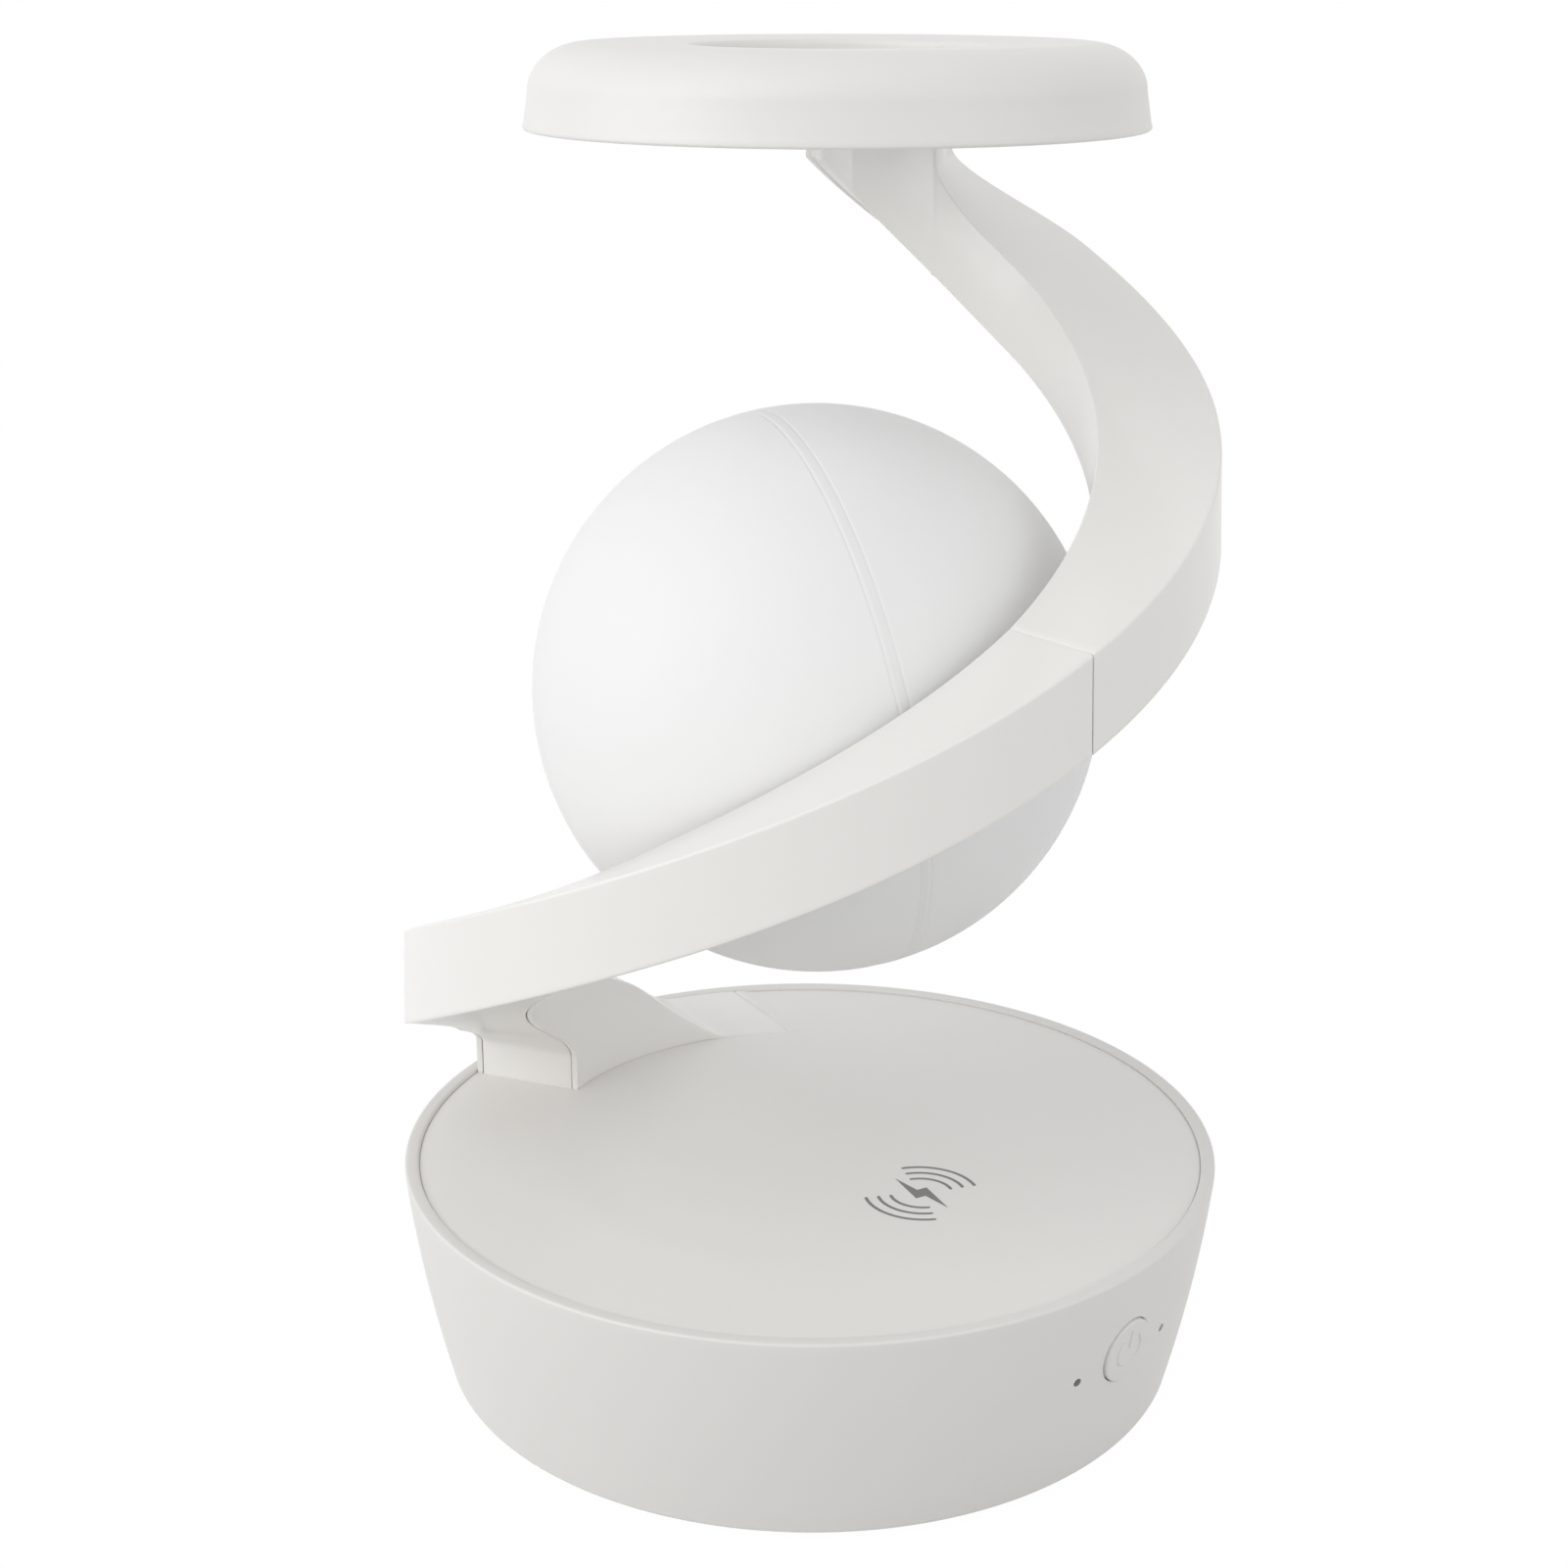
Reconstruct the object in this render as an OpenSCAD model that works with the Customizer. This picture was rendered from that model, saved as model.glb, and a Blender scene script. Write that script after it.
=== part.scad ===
// Spiral table lamp: a round charging base, a flat-sided arm that climbs in a
// spiral round a milky globe, and a ring-shaped lamp head on the arm's tip.
// Millimetres, +Z up, origin on the table under the middle of the base, the
// button's side of the base towards -Y.

/* [Base] */
// Diameter of the base at its rim
base_d = 150; // [146:1:160]
// Amount that the base's side runs in from the rim to the lower edge
base_taper = 7; // [4:0.5:9]
// Height of the base shell from lower edge to rim
base_h = 39.7; // [37:0.1:48]
// Share of the side's taper that is a curve and not a straight cone
side_bow = 0.45; // [0:0.05:0.8]
// Wall of the base shell
base_wall = 2.4; // [2:0.1:3]
// Rounding at the rim and at the lower edge
base_edge = 0.9; // [0.4:0.1:1.4]
// Width of the lip round the top cover
lip_w = 2.6; // [2.4:0.1:5]
// Width of the inner ledge that carries the top cover
ledge_w = 2.4; // [1.8:0.1:3.2]
// Thickness of that ledge
ledge_t = 2; // [1.4:0.1:3]
// Drop from the lip to the top cover
cover_drop = 0.5; // [0.3:0.1:1.4]
// Thickness of the top cover
cover_t = 3; // [2.6:0.1:4]
// Depth of the shallow dish in the top cover
dish_depth = 0.4; // [0.2:0.1:1]
// Width of the slope round the dish
dish_slope_w = 11; // [5:1:11]
// Thickness of the bottom plate
plate_t = 2.4; // [2:0.1:3.5]
// Height of the rubber feet under the bottom plate
foot_h = 1; // [0.8:0.1:2]
// Depth that each rubber foot is let into the bottom plate
foot_sink = 0.8; // [0.5:0.1:1.2]
// Diameter of a rubber foot
foot_d = 12; // [8:1:15]
// Distance of the feet's ring from the base's lower edge
foot_inset = 18; // [14:1:24]
// Number of rubber feet
foot_count = 4; // [3:1:6]
// Distance of the base screws from the base's lower edge
boss_inset = 9; // [8:0.5:11]
// Diameter of a screw boss inside the base
boss_d = 6.4; // [5.6:0.2:8]
// Height of a screw boss
boss_h = 13; // [10:1:16]
// Thickness of the steel ballast plate
ballast_t = 4; // [2:0.5:5]
// Diameter of the ballast plate
ballast_d = 66; // [50:1:68]

/* [Charging pad] */
// Distance of the charging mark right of the middle
mark_x = 20.1; // [10:0.1:24]
// Distance of the charging mark in front of the middle
mark_y = 20.7; // [10:0.1:22]
// Radius of the outermost wave of the mark
mark_r = 10.15; // [8:0.05:11]
// Step between the waves of the mark
mark_step = 2.28; // [1.8:0.02:2.6]
// Width of a wave's stroke
mark_stroke = 0.62; // [0.4:0.02:0.9]
// Thickness of the printed inlay
mark_t = 0.15; // [0.1:0.05:0.3]
// Direction of the waves, counted from the right-hand side
mark_turn = 62.5; // [0:0.5:180]
// Outer diameter of the charging coil
coil_d = 46; // [40:1:50]
// Diameter of the coil's open middle
coil_hole_d = 21; // [16:1:26]
// Thickness of the coil
coil_t = 1.6; // [1:0.1:2.4]
// Thickness of the ferrite shield under the coil
shield_t = 0.9; // [0.6:0.1:1.5]

/* [Switch and socket] */
// Direction of the power button, counted from the right-hand side
button_turn = -41.9; // [-60:0.1:-35]
// Height of the power button's middle above the table
button_z = 24.7; // [22:0.1:26]
// Diameter of the power button
button_d = 11.6; // [10:0.1:14]
// Gap round the power button
button_gap = 0.3; // [0.2:0.05:0.5]
// Travel of the power button
button_travel = 0.6; // [0.3:0.1:0.9]
// Height of the power button's face above the wall
button_proud = 0.35; // [0.2:0.05:0.8]
// Height of the raised power symbol
symbol_h = 0.3; // [0.15:0.05:0.5]
// Diameter of an indicator window
window_d = 1.3; // [0.8:0.1:2]
// Angle from the button to each indicator window
window_step = 9.7; // [8.5:0.1:13]
// Drop from the button's middle to the windows
window_drop = 1.5; // [0:0.1:3]
// Height of the power socket's middle above the table
socket_z = 13; // [11:0.1:16]
// Width of the power socket
socket_w = 8.9; // [8.4:0.1:9.6]
// Height of the power socket
socket_h = 3.2; // [2.8:0.1:3.6]

/* [Arm] */
// Rise of the spiral arm in one full turn
arm_lead = 189.4; // [170:0.2:210]
// Direction where the arm's top meets the base
arm_start = 100; // [96:1:106]
// Height of the arm's section
arm_h = 16.3; // [15:0.1:18]
// Width of the arm between the globe's clearance and the rim
arm_w = 24; // [22:0.1:26]
// Inward lean of the arm's outer side for each millimetre of height
arm_lean = 0.0435; // [0.03:0.0005:0.055]
// Wall of the arm's mouldings
arm_wall = 2.2; // [1.8:0.1:2.6]
// Thickness of the arm's upper face
arm_top_t = 2.4; // [1.8:0.1:3]
// Bevel along the arm's upper edges
arm_edge = 0.45; // [0.3:0.05:0.8]
// Thickness of the strips that close the arm from below
strip_t = 1.8; // [1.2:0.1:2.4]
// Gap along a strip and at the arm's seam
strip_gap = 0.2; // [0.1:0.05:0.3]
// Turn from the arm's start to the end of its foot
foot_turn = 55.5; // [50:0.5:62]
// Height of the rounding between the foot and the arm's underside
foot_fillet = 2.6; // [2:0.1:4]
// Turn from the arm's start to the seam between its two mouldings
seam_turn = 208; // [200:1:214]
// Reach of the arm's tip under the head's edge
tip_reach = 5.2; // [4.6:0.1:6]
// Turn from the arm's start to the stalk under the head
stalk_turn = 323; // [318:0.5:326]
// Height of the stalk above the arm's upper face
stalk_h = 13.1; // [11:0.1:16]
// Turn that the stalk spans
stalk_span = 29; // [27:0.5:32]
// Extra slope of the underside towards the tip
tip_lift = 7.5; // [4:0.5:8]
// Diameter of the lead inside the arm
lead_d = 1.6; // [1.2:0.1:1.8]

/* [Globe] */
// Wall of the globe
globe_wall = 2; // [1.4:0.1:3]
// Gap between the globe and the arm
globe_gap = 1.2; // [0.9:0.1:2]
// Distance of the globe's middle right of the base's middle
globe_shift = 0.9; // [0:0.1:1.2]
// Diameter of the hollow pin that carries the globe
pin_d = 7; // [6:0.5:7.5]
// Wall of that pin
pin_wall = 1.4; // [1.2:0.1:1.6]
// Diameter of the lamp board inside the globe
lamp_d = 24; // [18:1:30]

/* [Head] */
// Diameter of the head at its lower edge
head_d = 103; // [100:0.5:108]
// Height of the head
head_h = 13.6; // [12:0.1:17]
// Diameter of the head's open middle
head_hole_d = 47.4; // [40:0.2:52]
// Wall of the head's shell
head_wall = 2; // [1.6:0.1:2.4]
// Distance of the head's middle right of the base's middle
head_shift = 3.9; // [2:0.1:5]
// Thickness of the light diffuser under the head
diffuser_t = 1.8; // [1.2:0.1:2.4]
// Number of light sources round the head
head_led_count = 18; // [8:1:30]

/* [Hidden] */
$fn = 64;

// Clearance between pieces that sit in one another
fit = 0.2;
// Clearance round a screw or a pin in its bore
bore_fit = 0.05;
// Overshoot of a cut past the face that it opens
cut = 1;

// Heights of the base and the level that the arm stands on
rim_z = foot_h + base_h;
rim_r = base_d / 2;
bottom_r = rim_r - base_taper;
foot_ring_r = bottom_r - foot_inset;
boss_ring_r = bottom_r - boss_inset;
cover_z = rim_z - cover_drop;
ledge_z = cover_z - cover_t;
plate_top = foot_h + plate_t;
cover_r = rim_r - lip_w - fit;
side_steps = 10;

// Radius of the base's side, its slope and its inner face at a height
function side_share(z) = (rim_z - z) / base_h;
function side_r(z) =
    let (t = side_share(z))
    rim_r - (rim_r - bottom_r) * ((1 - side_bow) * t + side_bow * t * t);
function side_slope(z) =
    (rim_r - bottom_r) / base_h * (1 - side_bow + 2 * side_bow * side_share(z));
function smooth(t) = let (u = min(1, max(0, t))) u * u * (3 - 2 * u);
function mix(a, b, t) = a + (b - a) * t;
function polar(r, a, z) = [r * cos(a), r * sin(a), z];

// The arm: levels, radii and turning points of the spiral
mm_per_degree = arm_lead / 360;
arm_inner_r = rim_r - arm_w;
globe_r = arm_inner_r - globe_gap;
globe_d = 2 * globe_r;
arm_foot_r = cover_r - fit;
foot_end = arm_start + foot_turn;
seam_at = arm_start + seam_turn;
stalk_at = arm_start + stalk_turn;
tip_at = stalk_at + stalk_span;
tail_drop = cover_drop / mm_per_degree;
tail_at = arm_start - tail_drop;
tail_step = 0.5;
tail_soft = 2.6;
tail_skew = 4.4;
tail_skew_span = 30;
stalk_skew = 0.8;
arm_sink = 0.93;
root_dip = 10;
root_fade = 32;
root_swell = 1.8;
root_swell_at = 33;
root_swell_turn = 9;
root_extra_h = 1.4;
root_extra_from = 90;
root_extra_turn = 60;
break_min = 0.1;
section_step = 3;
mean_r = (arm_inner_r + rim_r) / 2;
degree_len = mean_r * PI / 180;
foot_fillet_turn = 6;
head_z = rim_z + mm_per_degree * stalk_turn + stalk_h;
foot_wall_spare = 0.6;
foot_wall_high = underside(foot_end) + foot_wall_spare;
foot_wall_low = underside(foot_end) - foot_fillet - foot_wall_spare;

// Upper face of the arm: an even rise that dips towards the root
function helix(s) =
    let (t = s - arm_start)
    let (swell = root_swell * exp(-pow((t - root_swell_at) / root_swell_turn, 2)))
    rim_z + mm_per_degree * t - arm_sink - root_dip * exp(-t / root_fade) + swell;
// Height of the arm's section, a little more near the root
function section_h(s) =
    arm_h + root_extra_h * (1 - smooth((s - arm_start - root_extra_from) / root_extra_turn));
function cone_r(z) = rim_r - arm_lean * (z - rim_z);
// Outer side of the lower arm: upright at its foot, then out to the leaning side
function outer_r(z) =
    mix(arm_foot_r, cone_r(z),
        min(1, max(0, (z - foot_wall_low) / (foot_wall_high - foot_wall_low))));
function lower_top(s) =
    let (rise = helix(s) - cover_z - tail_step)
    cover_z + tail_step + (rise + sqrt(rise * rise + tail_soft * tail_soft)) / 2;
function underside(s) = helix(s) - section_h(s);
function lower_bottom(s) =
    let (u = (s - foot_end) / foot_fillet_turn)
    s <= foot_end ? cover_z :
    underside(s) - (u < 1 ? foot_fillet * (1 - sqrt(1 - (1 - u) * (1 - u))) : 0);
function tail_turn(s) = tail_skew * (1 - smooth((s - tail_at) / tail_skew_span));

// A point of a section: radius, height, and 0 or 1 for its inner or outer side
function arm_point(p, s, skew) = polar(p[0], s + skew * (2 * p[2] - 1), p[1]);
// Break heights of an upright wall between two levels
function spans(zb, zt, z) = zb < z - break_min && zt > z + break_min;
function high_break(zb, zt, share) =
    spans(zb, zt, foot_wall_high) ? foot_wall_high : mix(zb, zt, share);
function low_break(zb, zt) =
    spans(zb, zt, foot_wall_low) ? foot_wall_low : high_break(zb, zt, 1 / 3);

function lower_section(s) =
    let (zt = lower_top(s), zb = lower_bottom(s))
    let (c = min(arm_edge, 0.35 * (zt - zb)), zc = zt - c)
    let (zi = max(zb + 0.4 * (zc - zb), min(zt - arm_top_t, zc - 0.1)))
    let (zn = zt - arm_top_t < zb + 0.3 ? zb + 0.4 * (zc - zb) : zi)
    let (l1 = low_break(zb, zc), l2 = high_break(l1, zc, 0.5))
    let (i1 = low_break(zb, zn), i2 = high_break(i1, zn, 0.5))
    let (ri = arm_inner_r, w = arm_wall)
    [for (p = [
        [ri, zb, 0], [ri, zc, 0], [ri + c, zt, 0],
        [outer_r(zc) - c, zt, 1], [outer_r(zc), zc, 1],
        [outer_r(l2), l2, 1], [outer_r(l1), l1, 1], [outer_r(zb), zb, 1],
        [outer_r(zb) - w, zb, 1], [outer_r(i1) - w, i1, 1],
        [outer_r(i2) - w, i2, 1], [outer_r(zn) - w, zn, 1],
        [ri + w, zn, 0], [ri + w, zb, 0]])
        arm_point(p, s, tail_turn(s))];

// Even steps between two angles, ends included
function steps(a, b, step) =
    let (n = max(1, ceil((b - a) / step))) [for (i = [0:n]) mix(a, b, i / n)];
function tail_of(list) = [for (i = [1:len(list) - 1]) list[i]];

// Upper arm: inner radius drawn in, sides pulled in to the head at the tip
stalk_fillet_turn = 15;
stalk_fillet_h = 5;
stalk_rise_turn = 51;
stalk_rise_h = 6.6;
stalk_face = 0.05;
draw_in_turn = 100;
draw_in_late = 1;
pull_in_turn = 21;
tip_round_turn = 7.6;
tip_round_in = 1.6;
tip_round_out = 0.9;
tip_w = 5.4;
lift_turn = 19;
stalk_mid_h = 7;
solid_tip_turn = 16;
stalk_wall = 1.2;
inner_top_r = head_d / 2 - tip_reach;
head_edge_r = head_d / 2 + head_shift * cos(stalk_at + stalk_span / 2);

// Share of an upright quarter ellipse that a turn has climbed
function climb(u) = 1 - sqrt(max(0, 1 - pow(max(0, u), 2)));
function pull_share(s) = smooth((s - stalk_at + pull_in_turn) / pull_in_turn);
function upper_inner(s) =
    let (left = max(0, 1 - (s - seam_at) / draw_in_turn))
    mix(arm_inner_r, inner_top_r + draw_in_late, 1 - left * left)
        - draw_in_late * pull_share(s)
        + tip_round_in * climb((s - tip_at + tip_round_turn) / tip_round_turn);
function upper_outer(s, z) =
    mix(cone_r(z), inner_top_r + tip_w,
        smooth((s - stalk_at + pull_in_turn) / (tip_at - stalk_at + pull_in_turn)))
        - tip_round_out * climb((s - tip_at + tip_round_turn) / tip_round_turn);
function upper_bottom(s) =
    let (t = max(0, (s - stalk_at + lift_turn) / (tip_at - stalk_at + lift_turn)))
    underside(s) + tip_lift * t * t;
// Upper face along the inner and the outer edge, both sweeping up into the stalk
function upper_top_in(s) =
    s > stalk_at ? head_z :
    helix(s) + stalk_fillet_h * climb((s - stalk_at + stalk_fillet_turn) / stalk_fillet_turn);
function upper_top_out(s) =
    s > stalk_at ? head_z :
    helix(s) + stalk_rise_h * climb((s - stalk_at + stalk_rise_turn) / stalk_rise_turn);
function stalk_turn_out(s) = stalk_skew * pull_share(s);

function upper_section(s) =
    let (zt = upper_top_in(s), zo = upper_top_out(s), zb = upper_bottom(s), zc = zo - arm_edge)
    let (stalk = s > stalk_at)
    let (zm = stalk ? min(helix(s) + stalk_mid_h, zo - 2.4) : mix(zb, zc, 0.5))
    let (ri = upper_inner(s), ro = upper_outer(s, zb), rm = upper_outer(s, zm))
    let (rt = stalk ? min(head_edge_r, rm) : upper_outer(s, zc))
    let (w = min(arm_wall, 0.36 * (ro - ri)), wi = min(w, mix(arm_wall, stalk_wall, pull_share(s))))
    let (zi = s > tip_at - solid_tip_turn ? zb + 0.3 : helix(s) - arm_top_t)
    [for (p = [
        [ri, zb, 0], [ri, zt - arm_edge, 0], [ri + arm_edge, zt, 0],
        [rt - arm_edge, zo, 1], [rt, zc, 1], [rm, zm, 1], [ro, zb, 1],
        [ro - w, zb, 1], [upper_outer(s, zi) - w, zi, 1],
        [ri + wi, zi, 0], [ri + wi, zb, 0]])
        arm_point(p, s, stalk_turn_out(s))];

// A closed skin over rings of points that run round a section
module skin(rings) {
    n = len(rings);
    m = len(rings[0]);
    points = [for (ring = rings) for (p = ring) p];
    sides = [for (k = [0:n - 2]) for (i = [0:m - 1])
        let (a = k * m + i, b = k * m + (i + 1) % m)
        for (f = [[a, a + m, b + m], [a, b + m, b]]) f];
    ends = [[for (i = [0:m - 1]) i], [for (i = [0:m - 1]) n * m - 1 - i]];
    polyhedron(points = points, faces = concat(sides, ends), convexity = 8);
}

// Path of a strip along the underside, as turns and heights
lower_path = concat(
    [for (z = [cover_z + strip_gap, foot_wall_low, underside(foot_end) - foot_fillet]) [foot_end, z]],
    [for (u = [0.04, 0.14, 0.3, 0.5, 0.72, 1])
        let (s = foot_end + u * foot_fillet_turn) [s, lower_bottom(s)]],
    [for (s = tail_of(steps(foot_end + foot_fillet_turn, seam_at - strip_gap, section_step)))
        [s, underside(s)]]);
upper_path = [for (s = steps(seam_at + strip_gap, tip_at - solid_tip_turn - 1, section_step))
    [s, upper_bottom(s)]];

// Direction from the underside into the arm, in millimetres
function inward(path, i) =
    let (a = path[max(0, i - 1)], b = path[min(len(path) - 1, i + 1)])
    let (d = [(b[0] - a[0]) * degree_len, b[1] - a[1]])
    [-d[1], d[0]] / norm(d);
// Four corners of a strip at one point of its path
function strip_ring(path, i, r1, r2) =
    let (n = inward(path, i) * strip_t, s = path[i][0], z = path[i][1])
    let (s2 = s + n[0] / degree_len, z2 = z + n[1])
    [polar(r1, s, z), polar(r1, s2, z2), polar(r2, s2, z2), polar(r2, s, z)];

// The globe: its middle is level with the arm where the pin goes through
globe_turn = 182.8;
globe_at = arm_start + globe_turn;
globe_z = helix(globe_at) - arm_h / 2;
globe_in_r = globe_r - globe_wall;
globe_seam_axis = [0.933, 0.315, 0.175];
collar_d = pin_d + 9;
collar_l = 5;
nut_t = 3.6;
nut_d = pin_d + 7;
lamp_t = 1.4;
pin_flange_t = 2;
pin_seat = arm_inner_r + arm_wall;
// Room for the pin's flange between the sloping upper face and the strip
pin_room = (arm_h / 2 - arm_top_t) * cos(atan(mm_per_degree / (pin_seat * PI / 180))) - fit;
pin_flange_d = min(2 * pin_room, pin_d + 3);
gasket_d = pin_d + 3;
collar_x = globe_in_r - collar_l - 1;
nut_x = collar_x - nut_t - bore_fit;
lamp_x = nut_x - 2;
seam_tilt = acos(globe_seam_axis[2] / norm(globe_seam_axis));
seam_swing = atan2(globe_seam_axis[1], globe_seam_axis[0]);

module at_globe() { translate([globe_shift, 0, globe_z]) children(); }
// Local X runs from the globe's middle out through the arm
module at_globe_pin() { at_globe() rotate([0, 0, globe_at]) children(); }
module rod_x(d, x0, x1) { translate([x0, 0, 0]) rotate([0, 90, 0]) cylinder(d = d, h = x1 - x0); }

// The head: profile of its shell about the middle of the ring
head_r = head_d / 2;
hole_r = head_hole_d / 2;
skirt_h = 6 / 13.6 * head_h;
shoulder_w = 9.4;
flare = 1;
crown = 0.35;
diffuser_z = 0.6;
diffuser_r = head_r - head_wall - flare * (diffuser_z + diffuser_t) / skirt_h - fit;
board_h = 1.2;
light_h = 1;
light_w = 3;
step_w = 1.8;
board_z = skirt_h + board_h;
head_board_r = 38.5 / 51.5 * head_r;
bracket_in_r = head_board_r + 1;
bracket_turn = 12.4;
bracket_mid = 80.1;
bracket_lift = 5;
head_screw_d = 1.6;
head_screw_l = 6;
// Turn and distance from the stalk's inner face of the screws and the lead
head_screw_spots = [[stalk_at + 8.5, 1.5], [stalk_at + 15.5, 1.5]];
lead_spot = [stalk_at + 3.8, stalk_wall + lead_d / 2];

module at_head() { translate([head_shift, 0, head_z]) children(); }
// Rounded shoulder from the skirt to the flat top, taken in by a wall
function shoulder(wall) = [for (a = [0:10:90])
    [head_r - flare - shoulder_w + (shoulder_w - wall) * cos(a),
     skirt_h + (head_h - skirt_h - wall) * sin(a)]];

// Power button: local Z points out of the wall, X down along it
button_r = side_r(button_z);
button_tilt = atan(side_slope(button_z));
wall_bulge = 0.5;
flange_t = 1.2;
flange_over = 1.2;
stem_d = 4;
stem_l = 2;
switch_w = 6.2;
switch_t = 3.6;
board_t = 1.6;
flange_top = -(base_wall + wall_bulge + 0.4);
stem_end = flange_top - flange_t - stem_l;
switch_top = stem_end + 1.2;
switch_well = stem_end - button_travel - 0.2;
switch_back = switch_top - switch_t - 1.2;
module at_button() {
    translate(polar(button_r, button_turn, button_z))
        rotate([0, 90 + button_tilt, button_turn]) children();
}
module at_window(side) {
    a = button_turn + side * window_step;
    z = button_z - window_drop;
    translate(polar(side_r(z), a, z)) rotate([0, 90 + atan(side_slope(z)), a]) children();
}

// Inside of the base: main board, its posts and the power socket at the back
main_board_z = plate_top + 6;
main_board_x = [-32, 20];
main_board_y = [bottom_r - 50, bottom_r - 12];
post_inset = 3;
post_d = 5;
socket_l = 11;
socket_board_z = socket_z - socket_h / 2 - board_t;
socket_face_y = side_r(socket_z) - 0.8;
boss_angles = [25, 155, 205, 295];
screw_d = 3;
screw_head_d = 5.4;
screw_head_t = 1.4;
spacer_turns = [36, 48];
spacer_d = 5;
spacer_r = mean_r + 2;
foot_grip = 6;
clamp_t = 2;
clamp_turns = [foot_turn - 23.5, foot_turn - 2.5];
ballast_at = [-6, -16];
lead_r = arm_inner_r + arm_wall + 4.4;
lead_up_at = arm_start + 24;
lead_hole_d = lead_d + 2;

// Base shell: tapered bowl with the rim lip, the cover's ledge and screw bosses
function side_line(z0, z1, inset) =
    [for (i = [0:side_steps]) let (z = mix(z0, z1, i / side_steps)) [side_r(z) - inset, z]];
// Middle of the wall, where a rib ends
function rib_r(z) = side_r(z) - base_wall / 2;
module base_bowl() {
    ledge_r = rim_r - lip_w - ledge_w;
    wall_top = ledge_z - ledge_t;
    rotate_extrude(convexity = 6)
        polygon(concat(
            [[bottom_r - base_edge, foot_h]],
            side_line(foot_h + base_edge, rim_z - base_edge, 0),
            [[rim_r - base_edge, rim_z], [rim_r - lip_w, rim_z], [rim_r - lip_w, ledge_z],
             [ledge_r, ledge_z], [ledge_r, ledge_z - ledge_t]],
            side_line(wall_top, foot_h, base_wall)));
}
module base_bosses() {
    rib_low = plate_top + 0.6;
    rib_high = plate_top + boss_h - 1.5;
    for (a = boss_angles) {
        translate(polar(boss_ring_r, a, plate_top)) cylinder(d = boss_d, h = boss_h);
        rotate([90, 0, a]) linear_extrude(2, center = true)
            polygon([
                [boss_ring_r, rib_low], [rib_r(rib_low), rib_low],
                [rib_r(rib_high), rib_high], [boss_ring_r, rib_high]]);
    }
}
module socket_slot(d_fit, y0, y1) {
    r = socket_h / 2;
    flat = 2 * (r + d_fit) - 0.03;
    for (x = [-1, 1] * (socket_w / 2 - r))
        translate([x, y0, socket_z]) rotate([-90, 0, 0]) cylinder(r = r + d_fit, h = y1 - y0);
    translate([r - socket_w / 2, y0, socket_z - flat / 2])
        cube([socket_w - 2 * r, y1 - y0, flat]);
}
module base_shell() {
    color([0.93, 0.93, 0.91]) difference() {
        union() {
            base_bowl();
            base_bosses();
        }
        for (a = boss_angles)
            translate(polar(boss_ring_r, a, plate_top - cut))
                cylinder(d = screw_d + 2 * bore_fit, h = boss_h - 2 + cut);
        at_button() translate([0, 0, -base_wall * 3])
            cylinder(d = button_d + 2 * button_gap, h = base_wall * 5);
        for (side = [-1, 1])
            at_window(side) translate([0, 0, -base_wall * 2])
                cylinder(d = window_d + 2 * bore_fit, h = base_wall * 4);
        socket_slot(fit, bottom_r - base_wall * 3, rim_r + cut);
    }
}

// Bottom plate with posts for the main board and a prop behind the switch
module switch_prop() {
    intersection() {
        at_button() translate([-switch_w / 2, -switch_w / 2, switch_back - board_t - 3])
            cube([rim_z, switch_w, 3]);
        translate([0, 0, foot_h + plate_t / 2]) cylinder(r = rim_r, h = rim_z);
    }
}
module foot_spots(z) {
    for (i = [0:foot_count - 1])
        translate(polar(foot_ring_r, 45 + i * 360 / foot_count, z)) children();
}
module board_posts() {
    for (x = [main_board_x[0] + post_inset, main_board_x[1] - post_inset],
         y = [main_board_y[0] + post_inset, main_board_y[1] - post_inset])
        translate([x, y, plate_top - plate_t / 2])
            cylinder(d = post_d, h = socket_board_z - plate_top + plate_t / 2);
}
module bottom_plate() {
    color([0.9, 0.9, 0.88]) difference() {
        union() {
            translate([0, 0, foot_h]) cylinder(r = bottom_r - base_wall - fit, h = plate_t);
            board_posts();
            switch_prop();
        }
        foot_spots(foot_h - cut) cylinder(d = foot_d + 2 * bore_fit, h = foot_sink + cut);
        for (a = boss_angles) translate(polar(boss_ring_r, a, foot_h - cut)) {
            cylinder(d = screw_d + 2 * bore_fit, h = plate_t + 2 * cut);
            cylinder(d = screw_head_d + fit, h = screw_head_t + cut);
        }
    }
}
module rubber_feet() {
    color([0.32, 0.32, 0.33]) foot_spots(0) cylinder(d = foot_d, h = foot_h + foot_sink);
}
// Screw that points up, its head's outer face at the origin
module screw_up(l, head_t) {
    cylinder(d = screw_head_d, h = head_t);
    cylinder(d = screw_d, h = head_t + l);
}
module base_screws() {
    color([0.7, 0.71, 0.72])
        for (a = boss_angles) translate(polar(boss_ring_r, a, foot_h))
            screw_up(plate_t - screw_head_t + boss_h - 4, screw_head_t);
}
module ballast_plate() {
    color([0.55, 0.56, 0.58]) translate([ballast_at[0], ballast_at[1], plate_top]) difference() {
        cylinder(d = ballast_d, h = ballast_t);
        translate([0, 0, -cut]) cylinder(d = screw_d * 2, h = ballast_t + 2 * cut);
    }
}

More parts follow.
